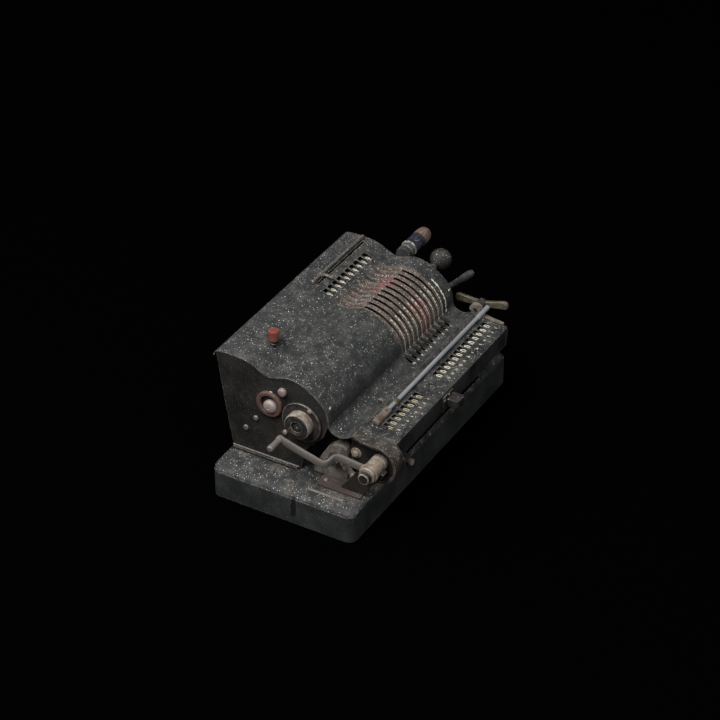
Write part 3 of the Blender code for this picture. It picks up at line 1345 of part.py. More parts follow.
def pedestal(left):
    """A cradle under the clearing drum, and the grooved plate that it stands on."""
    right = CARRIAGE_LEFT - RUNNING_GAP
    track_top = BASE_HEIGHT + GAP + TRACK_HEIGHT
    bore = CLEARING_RADIUS + GAP
    outer = bore + PEDESTAL_WALL
    foot = track_top + GAP
    foot_front = BASE_FRONT_Y + PEDESTAL_SETBACK
    foot_rear = foot_front + PEDESTAL_FOOT
    cradle = arc(CHEEK_CENTRE, bore, CRADLE_REAR_ANGLE, CRADLE_FRONT_ANGLE, 2 * CORNER_STEPS)
    side = arc(CHEEK_CENTRE, outer, CRADLE_FRONT_ANGLE, CRADLE_FOOT_ANGLE, CORNER_STEPS)
    back = [circle_point(CHEEK_CENTRE, outer, CRADLE_REAR_ANGLE)]
    outline = cradle + side + [(foot_front, foot), (foot_rear, foot)] + back
    piece("clearing_pedestal", prism(outline, left, right), "black_paint")
    half = TRACK_WIDTH / 2
    middle = LEFT_INNER - half
    track_front = foot_front - TRACK_MARGIN
    track_rear = track_front + TRACK_LENGTH
    plate = block((middle - half, middle + half), (track_front, track_rear), (BASE_HEIGHT + GAP, track_top))
    track = piece("pedestal_plate", plate, "rusty_steel")
    groove_x = middle - half + TRACK_GROOVE
    groove = block(
        (groove_x - TRACK_GROOVE / 2, groove_x + TRACK_GROOVE / 2),
        (track_front - OVERRUN, track_rear + OVERRUN),
        (track_top - TRACK_HEIGHT / 2, track_top + OVERRUN),
    )
    cut(track, groove)


def lip_screw():
    """The thumbscrew on the base's front face, at the lip's left end."""
    start = Vector((LIP_SCREW_X, BASE_FRONT_Y - GAP, BASE_HEIGHT - LIP_SCREW_DROP))
    screw = tapered_bar(start, Vector((0, -LIP_SCREW_LENGTH, 0)), LIP_SCREW_RADIUS, LIP_SCREW_SHARES)
    piece("lip_thumbscrew", screw, "rusty_steel")


def clear_scene():
    for obj in list(bpy.data.objects):
        bpy.data.objects.remove(obj)


def main():
    clear_scene()
    base_casting()
    side_frames()
    top_cover()
    rear_panel()
    rail_and_brackets()
    bearings()
    drum()
    crank()
    release_lever()
    check_register()
    rear_decimal_rod()
    reversing_knob()
    carriage()
    clearing_gear()
    lip_screw()


main()
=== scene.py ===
"""The calculating machine's looks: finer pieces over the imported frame, materials, digits, light and camera.

Sizes of shapes are written in millimetres and shrink to metres when a mesh is made. Places inside the node
materials are in metres.
"""

import json
import math

import bmesh
import bpy
from mathutils import Matrix, Vector


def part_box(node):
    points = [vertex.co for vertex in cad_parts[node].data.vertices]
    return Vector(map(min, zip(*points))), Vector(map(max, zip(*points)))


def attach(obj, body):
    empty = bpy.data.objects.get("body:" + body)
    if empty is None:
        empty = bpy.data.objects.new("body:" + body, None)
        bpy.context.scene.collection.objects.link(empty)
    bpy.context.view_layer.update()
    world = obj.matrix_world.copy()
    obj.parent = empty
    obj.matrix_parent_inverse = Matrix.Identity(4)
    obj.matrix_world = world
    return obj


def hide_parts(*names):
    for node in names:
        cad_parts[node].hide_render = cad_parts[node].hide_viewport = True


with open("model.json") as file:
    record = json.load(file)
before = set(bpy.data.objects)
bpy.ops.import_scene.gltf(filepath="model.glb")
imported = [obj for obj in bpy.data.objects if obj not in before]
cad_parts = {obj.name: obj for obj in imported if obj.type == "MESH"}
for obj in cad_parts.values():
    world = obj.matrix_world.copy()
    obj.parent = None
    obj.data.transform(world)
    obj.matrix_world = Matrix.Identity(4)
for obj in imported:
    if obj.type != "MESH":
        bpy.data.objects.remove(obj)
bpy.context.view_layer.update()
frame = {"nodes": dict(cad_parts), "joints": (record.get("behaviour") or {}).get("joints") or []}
MM = 0.001


def box(node):
    low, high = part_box(node)
    return low / MM, high / MM


JOINT_PLACES = {j["name"]: [v / MM for v in j.get("pos_m", (0, 0, 0))] for j in frame["joints"]}


def axis_of(joint):
    return tuple(JOINT_PLACES[joint][1:])


DRUM = axis_of("drum_spin")
CRANK = axis_of("crank_spin")
REGISTER = axis_of("result_wheels_spin")
CHECK = axis_of("check_01_turn")
CLEARING = axis_of("clearing_turn")
NUT = axis_of("nut_spin")
GRIP = axis_of("grip_spin")
RELEASE = axis_of("release_turn")

DIGIT_PITCH = 8.0
FIRST_DIGIT = 20.5
SLOT_PLACES = [FIRST_DIGIT + DIGIT_PITCH * i for i in range(10)]
SLOT_HALF = 1.4
SLOT_ROWS = (-41.5, 12.0)
CHECK_HALF = 3.2
CHECK_ROWS = (CHECK[0] - 4.75, CHECK[0] + 4.75)
SLIT_COLUMNS, SLIT_ROWS = (24.5, 110.5), (62.8, 65.0)
HOLE_COLUMNS, HOLE_ROWS = (-81.4, -76.6), (46.2, 51.0)
DIAL_TOP, DIAL_STEP = 174, 62 / 9
REGISTER_PITCH = 7.87
RESULT_PLACES = [13.6 + REGISTER_PITCH * i for i in range(13)]
COUNTER_PLACES = [-80.1 + REGISTER_PITCH * i for i in range(8)]
REGISTER_HALF = 3.15
REGISTER_ROWS = (-76.6, -67.4)
REGISTER_RADIUS = 14.0
HOUSING_REAR = -55.4
COVER_SHEET = 0.95
HOUSING_SHEET = 1.1
DIGIT_LIFT, MARK_LIFT = 0.06, 0.07
DECIMAL_AXIS = (-62.5, 92.2)
BOLT_SPOT = (-54.6, 69)
PLATE_FACE = -115.25

# The side outlines of the cover and the carriage, as shares of their depth and height, from rear to front
COVER_FRONT, COVER_DEPTH, COVER_FOOT, COVER_HEIGHT = -54, 145, 34.5, 103.3
CARRIAGE_REAR, CARRIAGE_DEPTH, CARRIAGE_FOOT, CARRIAGE_HEIGHT = -54.6, 36.4, 66, 26.2

COVER_SHARES = (
    (1.0, 0.934), (0.980, 0.983), (0.912, 1.0), (0.786, 0.994), (0.717, 0.971), (0.643, 0.920),
    (0.599, 0.898), (0.554, 0.904), (0.494, 0.932), (0.442, 0.947), (0.390, 0.938), (0.332, 0.912),
    (0.281, 0.870), (0.237, 0.823), (0.201, 0.767), (0.172, 0.698), (0.161, 0.628), (0.157, 0.573),
    (0.140, 0.533), (0.108, 0.512), (0.070, 0.507), (0.0, 0.552),
)
CARRIAGE_SHARES = (
    (0.0, 1.0), (0.236, 0.893), (0.4725, 0.821), (0.676, 0.817), (0.879, 0.817), (0.9725, 0.775),
    (1.0, 0.668), (0.9835, 0.0),
)


def smooth(points, steps):
    """A Catmull-Rom curve through the points."""
    padded = [points[0], *points, points[-1]]
    curve = []
    for i in range(len(points) - 1):
        before, start, end, after = (Vector(p) for p in padded[i : i + 4])
        for step in range(steps):
            t = step / steps
            bend = (end - before) * t + (2 * before - 5 * start + 4 * end - after) * t**2
            bend += (3 * start - before - 3 * end + after) * t**3
            curve.append(tuple(start + bend / 2))
    return [*curve, points[-1]]


def arc(centre, radius, start, end, steps):
    turns = [math.radians(start + (end - start) * i / steps) for i in range(steps + 1)]
    return [(centre[0] + radius * math.cos(a), centre[1] + radius * math.sin(a)) for a in turns]


COVER_LINE = smooth(
    [(COVER_FRONT + COVER_DEPTH * u, COVER_FOOT + COVER_HEIGHT * v) for u, v in COVER_SHARES], 6
)
CARRIAGE_LINE = smooth(
    [(CARRIAGE_REAR - CARRIAGE_DEPTH * u, CARRIAGE_FOOT + CARRIAGE_HEIGHT * v) for u, v in CARRIAGE_SHARES], 5
)


def with_rows(line, places):
    """The line with a point added where it crosses each of these places."""
    made = []
    for (y_a, z_a), (y_b, z_b) in zip(line, line[1:]):
        made.append((y_a, z_a))
        for y in sorted((p for p in places if y_b + 0.02 < p < y_a - 0.02), reverse=True):
            made.append((y, z_a + (z_b - z_a) * (y_a - y) / (y_a - y_b)))
    return [*made, line[-1]]


def on_line(line, y):
    """The height and the outward normal of a line that runs from rear to front."""
    for (y_a, z_a), (y_b, z_b) in zip(line, line[1:]):
        if y_b <= y <= y_a and y_a > y_b:
            z = z_a + (z_b - z_a) * (y_a - y) / (y_a - y_b)
            return z, Vector((0, z_a - z_b, y_a - y_b)).normalized()
    return line[-1][1], Vector((0, 0, 1))


# Materials


def new_node(tree, kind, inputs=(), **settings):
    """A shader node with its settings. An input takes a link from a socket, or a plain value."""
    made = tree.nodes.new(kind)
    for key, value in settings.items():
        setattr(made, key, value)
    for key, value in dict(inputs).items():
        if isinstance(value, bpy.types.NodeSocket):
            tree.links.new(value, made.inputs[key])
        else:
            made.inputs[key].default_value = value
    return made


class Nodes:
    """A short way to write a node material."""

    def __init__(self, name):
        self.made = bpy.data.materials.new(name)
        self.made.use_nodes = True
        self.tree = self.made.node_tree
        self.shader = self.tree.nodes["Principled BSDF"]
        coords = self.tree.nodes.new("ShaderNodeTexCoord")
        self.place = coords.outputs["Object"]

    def node(self, kind, inputs=(), **settings):
        return new_node(self.tree, kind, inputs, **settings)

    def math(self, operation, a, b=0.0, c=0.0):
        return self.node("ShaderNodeMath", {0: a, 1: b, 2: c}, operation=operation).outputs[0]

    def times(self, a, b):
        return self.math("MULTIPLY", a, b)

    def noise(self, scale, detail, rough, stretch=(1, 1, 1)):
        place = self.node("ShaderNodeMapping", {"Vector": self.place, "Scale": stretch}).outputs[0]
        inputs = {"Vector": place, "Scale": scale, "Detail": detail, "Roughness": rough}
        return self.node("ShaderNodeTexNoise", inputs).outputs["Fac"]

    def band(self, value, low, high):
        """0 under low, 1 over high, smooth between."""
        inputs = {"Value": value, "From Min": low, "From Max": high}
        made = self.node("ShaderNodeMapRange", inputs, interpolation_type="SMOOTHSTEP")
        return made.outputs["Result"]

    def cloudy(self, scale, detail, rough, low, high):
        """Noise cut to soft patches: 0 under low, 1 over high."""
        return self.band(self.noise(scale, detail, rough), low, high)

    def mix(self, factor, a, b):
        colours = [value if isinstance(value, bpy.types.NodeSocket) else (*value, 1) for value in (a, b)]
        inputs = {0: factor, 6: colours[0], 7: colours[1]}
        return self.node("ShaderNodeMix", inputs, data_type="RGBA").outputs[2]

    def blend(self, factor, a, b):
        return self.node("ShaderNodeMix", {0: factor, 2: a, 3: b}, data_type="FLOAT").outputs[0]

    def specks(self, scale, size, share):
        """Small round spots, on this share of a jittered grid's cells."""
        inputs = {"Vector": self.place, "Scale": scale, "Randomness": 1.0}
        cells = self.node("ShaderNodeTexVoronoi", inputs)
        chosen = self.node("ShaderNodeSeparateColor", {"Color": cells.outputs["Color"]})
        near = self.band(cells.outputs["Distance"], size, size * 0.55)
        pick = self.math("LESS_THAN", chosen.outputs[0], share)
        return self.times(near, pick)

    def edges(self, radius):
        """1 along sharp edges, seen by the difference of a rounded normal."""
        rounded = self.node("ShaderNodeBevel", {"Radius": radius * MM}, samples=4).outputs[0]
        plain = self.node("ShaderNodeNewGeometry").outputs["Normal"]
        same = self.node("ShaderNodeVectorMath", {0: rounded, 1: plain}, operation="DOT_PRODUCT")
        return self.band(same.outputs["Value"], 0.98, 0.86)

    def patch(self, place, size):
        """1 near this spot of the plan, 0 outside the size."""
        split = self.node("ShaderNodeSeparateXYZ", {0: self.place})
        across = self.math("POWER", self.math("SUBTRACT", split.outputs["X"], place[0]), 2)
        along = self.math("POWER", self.math("SUBTRACT", split.outputs["Y"], place[1]), 2)
        off = self.math("SQRT", self.math("ADD", across, along))
        return self.band(off, size, size * 0.25)

    def upward(self):
        normal = self.node("ShaderNodeNewGeometry").outputs["Normal"]
        return self.band(self.node("ShaderNodeSeparateXYZ", {0: normal}).outputs["Z"], -0.1, 0.7)

    def bump(self, height, strength, depth):
        inputs = {"Height": height, "Strength": strength, "Distance": depth * MM}
        normal = self.node("ShaderNodeBump", inputs).outputs[0]
        self.tree.links.new(normal, self.shader.inputs["Normal"])

    def put(self, **sockets):
        for key, value in sockets.items():
            socket = self.shader.inputs[key.replace("_", " ")]
            if isinstance(value, bpy.types.NodeSocket):
                self.tree.links.new(value, socket)
            elif isinstance(value, tuple):
                socket.default_value = (*value, 1)
            else:
                socket.default_value = value


def paint(
    name, dark=(0.017, 0.019, 0.020), light=(0.042, 0.044, 0.043), dust=1.0, wear=1.0, ribs=False, tan=(),
    smudge=False
):
    """Old black paint: a fine crinkle, cloudy fading, pale dust specks and bare brown edges."""
    m = Nodes(name)
    cloud = m.noise(38, 5, 0.62)
    fine = m.noise(900, 4, 0.6)
    colour = m.mix(m.band(cloud, 0.34, 0.68), dark, light)
    colour = m.mix(m.times(m.band(fine, 0.50, 0.74), 0.35), colour, (0.105, 0.103, 0.094))
    if ribs:
        # On the ribbed cover: the ribs' wear, and painted shade in the flute troughs.
        colour = rib_wear(m, colour)
    up = m.upward()
    for place, size in tan:
        near = m.times(m.patch(place, size), m.times(up, m.cloudy(330, 5, 0.7, 0.40, 0.62)))
        colour = m.mix(m.times(near, 0.8), colour, (0.125, 0.103, 0.084))
    film = m.times(up, m.times(m.cloudy(120, 5, 0.7, 0.42, 0.72), 0.30 * dust))
    colour = m.mix(film, colour, (0.175, 0.160, 0.140))
    small = m.specks(620, 0.24, 0.36)
    large = m.specks(330, 0.16, 0.32)
    bold = m.specks(190, 0.12, 0.18)
    patch = m.cloudy(60, 3, 0.6, 0.25, 0.52)
    spots = m.math("MAXIMUM", m.times(small, 0.85), m.math("MAXIMUM", large, bold))
    spots = m.times(m.times(spots, patch), m.math("MULTIPLY_ADD", up, 0.92, 0.08))
    colour = m.mix(m.times(spots, min(1, 0.95 * dust)), colour, (0.74, 0.73, 0.68))
    worn = m.times(m.edges(0.9), m.cloudy(210, 4, 0.6, 0.36, 0.58))
    worn = m.times(worn, min(1, 0.9 * wear))
    colour = m.mix(worn, colour, (0.26, 0.225, 0.185))
    if smudge:
        split = m.node("ShaderNodeSeparateXYZ", {0: m.place})
        dark = m.times(m.band(split.outputs["X"], -0.1475, -0.1490), m.band(split.outputs["Z"], 0.006, 0.010))
        y = m.math("ADD", split.outputs["Y"], m.times(m.noise(160, 2, 0.5), 0.004))
        dark = m.times(dark, m.times(m.band(y, -0.0145, -0.0130), m.band(y, -0.0075, -0.0090)))
        colour = m.mix(m.times(dark, 0.8), colour, (0.004, 0.005, 0.006))
    rough = m.blend(m.band(cloud, 0.3, 0.7), 0.46, 0.62)
    rough = m.blend(m.math("MAXIMUM", film, spots), rough, 0.85)
    m.put(Base_Color=colour, Roughness=rough)
    m.shader.inputs["Specular IOR Level"].default_value = 0.20
    height = m.math("ADD", m.times(fine, 0.5), m.times(spots, 0.6))
    height = m.math("ADD", height, m.times(m.noise(300, 3, 0.5), 0.4))
    m.bump(height, 0.6, 0.25)
    return m.made


COVER_LEFT = -0.1180
RED_PATCHES = (
    ((0.065, -0.024), 0.014), ((0.057, -0.019), 0.007), ((0.068, 0.012), 0.014), ((0.052, 0.016), 0.007),
)


def rib_wear(m, colour):
    """Worn ribs between the slots: painted shade darkening the flute troughs, pale dust on the ridges,
    red-brown primer, bare brass and red patches.
    """
    split = m.node("ShaderNodeSeparateXYZ", {0: m.place})
    x, y = split.outputs["X"], split.outputs["Y"]
    side = m.times(m.band(x, 0.010, 0.018), m.band(x, 0.101, 0.096))
    height = m.times(m.band(y, -0.037, -0.024), m.band(y, 0.044, 0.030))
    area = m.times(side, height)
    rim = m.times(m.band(x, COVER_LEFT + 0.0011, COVER_LEFT + 0.0005), m.cloudy(300, 4, 0.6, 0.40, 0.55))
    colour = m.mix(m.times(rim, 0.75), colour, (0.34, 0.31, 0.26))
    pitch, phase = math.tau / (DIGIT_PITCH * MM), -math.tau * FIRST_DIGIT / DIGIT_PITCH - math.pi / 2
    wave = m.math("SINE", m.math("MULTIPLY_ADD", x, pitch, phase))
    ridge = m.band(wave, -0.1, 0.7)
    # Painted shade: the flute troughs at the slots are darkened nearly to black.
    trough = m.times(area, m.band(wave, 0.0, -0.8))
    colour = m.mix(m.times(trough, 0.7), colour, (0.010, 0.010, 0.010))
    patchy = m.cloudy(75, 5, 0.7, 0.30, 0.60)
    colour = m.mix(m.times(area, m.times(patchy, 0.62)), colour, (0.080, 0.042, 0.033))
    dusty = m.times(m.times(area, ridge), m.cloudy(640, 4, 0.7, 0.46, 0.62))
    colour = m.mix(m.times(dusty, 0.7), colour, (0.225, 0.185, 0.140))
    bare = m.times(area, m.cloudy(620, 4, 0.65, 0.56, 0.66))
    colour = m.mix(m.times(bare, 0.75), colour, (0.33, 0.285, 0.23))
    for place, size in RED_PATCHES:
        near = m.times(m.patch(place, size), m.cloudy(260, 4, 0.7, 0.40, 0.60))
        colour = m.mix(m.times(near, 0.75), colour, (0.21, 0.032, 0.042))
    return colour


def metal(
    name, base=(0.30, 0.28, 0.25), stain=(0.11, 0.075, 0.055), rusty=0.5, rough=0.42, stretch=(1, 1, 1),
    metallic=0.85
):
    """Bare worn metal: streaks, brown stains, grey dirt and brighter edges."""
    m = Nodes(name)
    streak = m.noise(700, 4, 0.6, stretch)
    stains = m.cloudy(95, 6, 0.68, 0.62 - 0.26 * rusty, 0.78 - 0.22 * rusty)
    colour = m.mix(m.band(streak, 0.35, 0.70), tuple(v * 0.72 for v in base), base)
    colour = m.mix(m.times(stains, 0.9), colour, stain)
    spots = m.times(m.specks(480, 0.30, 0.16), 0.5)
    colour = m.mix(spots, colour, (0.38, 0.35, 0.30))
    bright = m.times(m.edges(0.6), m.cloudy(260, 3, 0.6, 0.35, 0.6))
    colour = m.mix(m.times(bright, 0.6), colour, tuple(min(1, v * 1.8) for v in base))
    m.put(Base_Color=colour, Metallic=m.blend(stains, metallic, metallic * 0.3))
    m.put(Roughness=m.blend(stains, m.blend(streak, rough - 0.08, rough + 0.12), 0.85))
    height = m.math("ADD", m.times(streak, 0.4), m.times(stains, 0.6))
    m.bump(height, 0.45, 0.12)
    return m.made


def enamel(name, base, worn, rough=0.4):
    """Faded glossy plastic or lacquer with scratches and dirt."""
    m = Nodes(name)
    fade = m.cloudy(130, 5, 0.65, 0.35, 0.70)
    colour = m.mix(fade, base, worn)
    dirt = m.cloudy(420, 4, 0.7, 0.56, 0.70)
    colour = m.mix(m.times(dirt, 0.45), colour, tuple(v * 0.4 for v in base))
    m.put(Base_Color=colour, Roughness=m.blend(dirt, rough, rough + 0.3))
    m.bump(m.noise(600, 4, 0.6), 0.35, 0.10)
    return m.made


def grip_material():
    """A lacquered handle: a dusty neck, one bright ring, dark blue lacquer and a bare brown end."""
    m = Nodes("grip_lacquer")
    x = m.node("ShaderNodeSeparateXYZ", {0: m.place}).outputs["X"]
    grain = m.noise(500, 5, 0.6, (0.15, 1, 1))
    ragged = m.math("ADD", x, m.times(m.math("SUBTRACT", m.noise(220, 3, 0.6), 0.5), 0.004))
    start = box("crank_handle")[0].x * MM
    neck = m.mix(m.cloudy(420, 4, 0.7, 0.40, 0.66), (0.040, 0.040, 0.038), (0.115, 0.110, 0.098))
    dark = m.mix(m.band(grain, 0.4, 0.7), (0.018, 0.021, 0.030), (0.045, 0.050, 0.062))
    brown = m.mix(m.band(grain, 0.35, 0.68), (0.085, 0.050, 0.038), (0.175, 0.115, 0.090))
    colour = m.mix(m.band(ragged, start + 0.0062, start + 0.0078), neck, dark)
    end = m.band(ragged, start + 0.0240, start + 0.0256)
    colour = m.mix(end, colour, brown)
    ring = m.times(m.band(x, start + 0.0056, start + 0.0062), m.band(x, start + 0.0080, start + 0.0073))
    worn = m.cloudy(520, 3, 0.6, 0.38, 0.58)
    colour = m.mix(m.times(ring, worn), colour, (0.50, 0.47, 0.41))
    rubbed = m.times(m.edges(0.8), m.cloudy(300, 3, 0.6, 0.4, 0.6))
    colour = m.mix(m.times(rubbed, 0.6), colour, (0.24, 0.20, 0.17))
    spots = m.times(m.specks(420, 0.30, 0.12), 0.7)
    colour = m.mix(spots, colour, (0.42, 0.40, 0.37))
    m.put(Base_Color=colour, Roughness=m.blend(end, 0.36, 0.62))
    m.bump(grain, 0.3, 0.08)
    return m.made


def ink(name, colour, faded):
    """Filled-in numerals, chipped here and there."""
    m = Nodes(name)
    chips = m.cloudy(800, 3, 0.6, 0.34, 0.50)
    m.put(Base_Color=m.mix(chips, faded, colour), Roughness=0.62)
    m.bump(m.noise(1200, 3, 0.6), 0.3, 0.05)
    return m.made


PAINT = paint("black_paint", (0.013, 0.0145, 0.015), (0.034, 0.036, 0.035), dust=1.1)
BASE_TAN = (
    ((-0.124, -0.050), 0.030), ((-0.137, -0.002), 0.008), ((-0.127, 0.018), 0.014), ((-0.095, -0.062), 0.034),
    ((-0.122, 0.060), 0.010)
)
BASE_PAINT = paint(
    "black_paint_base", (0.016, 0.0175, 0.018), (0.031, 0.033, 0.033), dust=1.2, tan=BASE_TAN, smudge=True
)
COVER_PAINT = paint("black_paint_cover", (0.022, 0.024, 0.0245), (0.035, 0.037, 0.0365), ribs=True)
SIDE_PAINT = paint("black_paint_side", (0.010, 0.010, 0.010), (0.023, 0.021, 0.019), dust=0.8)
WORN_PAINT = paint("black_paint_worn", (0.014, 0.013, 0.012), (0.046, 0.037, 0.030), dust=1.1, wear=1.1)
STEEL = metal("worn_steel", (0.24, 0.225, 0.20), (0.09, 0.065, 0.05))
PALE_STEEL = metal("pale_steel", (0.42, 0.385, 0.34), (0.16, 0.115, 0.085), 0.35, 0.48)
TAN_STEEL = metal("tan_steel", (0.40, 0.335, 0.265), (0.10, 0.068, 0.05), 0.75, 0.6, metallic=0.4)
GREY_STEEL = metal("grey_steel", (0.235, 0.210, 0.190), (0.11, 0.085, 0.07), 0.45, 0.55, metallic=0.5)
CAST_TAN = metal("cast_tan", (0.21, 0.185, 0.150), (0.055, 0.043, 0.034), 0.70, 0.7, metallic=0.2)
HUB_STEEL = metal("hub_steel", (0.36, 0.312, 0.258), (0.10, 0.072, 0.054), 0.78, 0.55, metallic=0.3)
RUST_TAN = metal("rusty_tan", (0.185, 0.155, 0.125), (0.070, 0.038, 0.028), 0.75, 0.7, metallic=0.2)
BAR_STEEL = metal("bar_steel", (0.36, 0.37, 0.39), (0.13, 0.11, 0.10), 0.2, 0.38, (0.04, 1, 1), 0.35)
DARK_STEEL = metal("dark_steel", (0.085, 0.080, 0.075), (0.05, 0.038, 0.03), 0.5, 0.55)
RUST = metal("rusty_steel", (0.125, 0.085, 0.068), (0.120, 0.042, 0.028), 0.8, 0.62, metallic=0.4)
BROWN = metal("brown_steel", (0.085, 0.066, 0.058), (0.055, 0.034, 0.028), 0.7, 0.65, metallic=0.3)
PINK_STEEL = metal("pinkish_steel", (0.38, 0.315, 0.285), (0.15, 0.095, 0.08), 0.7, 0.6, metallic=0.4)
BRASS = metal("tarnished_brass", (0.25, 0.215, 0.155), (0.10, 0.075, 0.05), 0.5, 0.55)
RED = enamel("red_bakelite", (0.155, 0.036, 0.026), (0.215, 0.085, 0.065))
GRIP_LACQUER = grip_material()
CREAM = ink("cream_ink", (0.72, 0.68, 0.55), (0.30, 0.28, 0.22))
GOLD = ink("gold_ink", (0.46, 0.41, 0.28), (0.22, 0.19, 0.13))
DIAL = enamel("black_dial", (0.024, 0.024, 0.023), (0.055, 0.051, 0.045), 0.5)


# Mesh making


def add(name, bm, material, body, replaces=(), bevel=0.0, angle=35, segments=2):
    """A piece from a mesh in millimetres: its material, its edges' rounding and the body that it rides on."""
    bmesh.ops.scale(bm, vec=(MM, MM, MM), verts=bm.verts)
    bmesh.ops.remove_doubles(bm, verts=bm.verts, dist=1e-7)
    bmesh.ops.recalc_face_normals(bm, faces=bm.faces)
    mesh = bpy.data.meshes.new(name)
    bm.to_mesh(mesh)
    bm.free()
    mesh.materials.append(material)
    obj = bpy.data.objects.new(name, mesh)
    bpy.context.collection.objects.link(obj)
    if bevel:
        round_edges(obj, bevel, segments, angle).harden_normals = True
    mesh.shade_smooth()
    mesh.set_sharp_from_angle(angle=math.radians(angle))
    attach(obj, body)
    if replaces:
        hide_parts(*([replaces] if isinstance(replaces, str) else replaces))
    return obj


def round_edges(obj, width, segments, angle):
    modifier = obj.modifiers.new("Bevel", "BEVEL")
    modifier.width = width * MM
    modifier.segments = segments
    modifier.limit_method = "ANGLE"
    modifier.angle_limit = math.radians(angle)
    return modifier


def thicken(obj, thickness, rounding):
    """Makes a bent surface a sheet whose thickness lies inside."""
    face = max(obj.data.polygons, key=lambda p: p.center.z)
    modifier = obj.modifiers.new("Sheet", "SOLIDIFY")
    modifier.thickness = thickness * MM
    modifier.offset = -1 if face.normal.z > 0 else 1
    round_edges(obj, rounding, 2, 50)


def append(target, source):
    """Puts one mesh into another and frees it."""
    source.verts.index_update()
    copied = [target.verts.new(vert.co) for vert in source.verts]
    for face in source.faces:
        target.faces.new([copied[vert.index] for vert in face.verts])
    source.free()
    return target


def joined(parts):
    whole = bmesh.new()
    for part in parts:
        append(whole, part)
    return whole


def skin(bm, rings):
    """Faces between rings of the same count, and one over each end."""
    count = len(rings[0])
    for low, high in zip(rings, rings[1:]):
        for i in range(count):
            j = (i + 1) % count
            bm.faces.new((low[i], low[j], high[j], high[i]))
    bm.faces.new(rings[0])
    bm.faces.new(rings[-1])
    return bm


def prism(outline, start, end, direction="X"):
    """An outline pushed along one axis. It lies in the two other axes, in their usual order."""
    bm = bmesh.new()
    spot = {
        "X": lambda a, b, c: (c, a, b), "Y": lambda a, b, c: (a, c, b), "Z": lambda a, b, c: (a, b, c)
    }[direction]
    return skin(bm, [[bm.verts.new(spot(a, b, c)) for a, b in outline] for c in (start, end)])


def lathe(profile, centre, direction="X", sides=56):
    """A profile of (place along the axis, radius) points, turned about an axis."""
    bm = bmesh.new()
    rings = []
    for along, radius in profile:
        if radius < 1e-6:
            rings.append([bm.verts.new(turned_spot(along, 0, 0, centre, direction))])
            continue
        ring = []
        for i in range(sides):
            turn = math.tau * i / sides
            a, b = radius * math.cos(turn), radius * math.sin(turn)
            ring.append(bm.verts.new(turned_spot(along, a, b, centre, direction)))
        rings.append(ring)
    closed = profile[0][1] > 1e-6 and profile[-1][1] > 1e-6
    pairs = list(zip(rings, rings[1:])) + ([(rings[-1], rings[0])] if closed else [])
    for low, high in pairs:
        for i in range(sides):
            j = (i + 1) % sides
            corners = [low[i % len(low)], low[j % len(low)], high[j % len(high)], high[i % len(high)]]
            corners = list(dict.fromkeys(corners))
            if len(corners) > 2:
                bm.faces.new(corners)
    return bm


def turned_spot(along, a, b, centre, direction):
    if direction == "X":
        return (along, centre[0] + a, centre[1] + b)
    if direction == "Y":
        return (centre[0] + a, along, centre[1] + b)
    return (centre[0] + a, centre[1] + b, along)


def sweep(path, section, upright):
    """A section, given as a function of the share of the way, carried along a path of points."""
    bm = bmesh.new()
    points = [Vector(p) for p in path]
    rings = []
    for i, point in enumerate(points):
        ahead = points[min(i + 1, len(points) - 1)] - points[max(i - 1, 0)]
        along = ahead.normalized()
        side = along.cross(Vector(upright)).normalized()
        over = side.cross(along).normalized()
        share = i / (len(points) - 1)
        rings.append([bm.verts.new(point + side * a + over * b) for a, b in section(share)])
    return skin(bm, rings)


def carve(obj, cutter):
    """Cuts a mesh, given in millimetres, out of a piece and keeps the result as its mesh."""
    bmesh.ops.scale(cutter, vec=(MM, MM, MM), verts=cutter.verts)
    bmesh.ops.recalc_face_normals(cutter, faces=cutter.faces)
    mesh = bpy.data.meshes.new("cutter")
    cutter.to_mesh(mesh)
    cutter.free()
    tool = bpy.data.objects.new("cutter", mesh)
    bpy.context.collection.objects.link(tool)
    modifier = obj.modifiers.new("Cut", "BOOLEAN")
    modifier.object = tool
    modifier.operation = "DIFFERENCE"
    others = [m for m in obj.modifiers if m != modifier]
    for other in others:
        other.show_viewport = False
    evaluated = obj.evaluated_get(bpy.context.evaluated_depsgraph_get())
    carved = bpy.data.meshes.new_from_object(evaluated)
    for other in others:
        other.show_viewport = True
    obj.modifiers.remove(modifier)
    obj.data = carved
    bpy.data.objects.remove(tool)
    carved.shade_smooth()
    carved.set_sharp_from_angle(angle=math.radians(35))


def refine(node, material, body, bevel):
    """A CAD node's own shape with rounded edges."""
    bm = bmesh.new()
    bm.from_mesh(frame["nodes"][node].data)
    bmesh.ops.scale(bm, vec=(1 / MM,) * 3, verts=bm.verts)
    bmesh.ops.remove_doubles(bm, verts=bm.verts, dist=1e-4)
    bmesh.ops.dissolve_limit(bm, angle_limit=math.radians(1), verts=bm.verts, edges=bm.edges)
    add(f"{node}_fine", bm, material, body, node, bevel=bevel)


def link(start, end, r_start, r_end, steps=10):
    """The outline of a bar with round ends."""
    turn = math.degrees(math.atan2(end[1] - start[1], end[0] - start[0]))
    return arc(end, r_end, turn - 90, turn + 90, steps) + arc(start, r_start, turn + 90, turn + 270, steps)


def screw(place, radius, height, direction):
    """A domed screw head with a dimple. It stands on a face that looks along X, Y or Z, with its sign."""
    sign = -1 if direction[0] == "-" else 1
    letter = direction[-1]
    base = {"X": place[0], "Y": place[1], "Z": place[2]}[letter]
    centre = {"X": place[1:], "Y": (place[0], place[2]), "Z": place[:2]}[letter]
    crown = 0.35
    profile = [(0, 0), (0, radius), (height * (1 - crown), radius), (height * (1 - crown / 3), radius * 0.86)]
    profile += [
        (height, radius * 0.55), (height, radius * 0.16), (height * 0.72, radius * 0.14), (height * 0.72, 0)
    ]
    return lathe([(base + sign * h, r) for h, r in profile], centre, letter, 20)


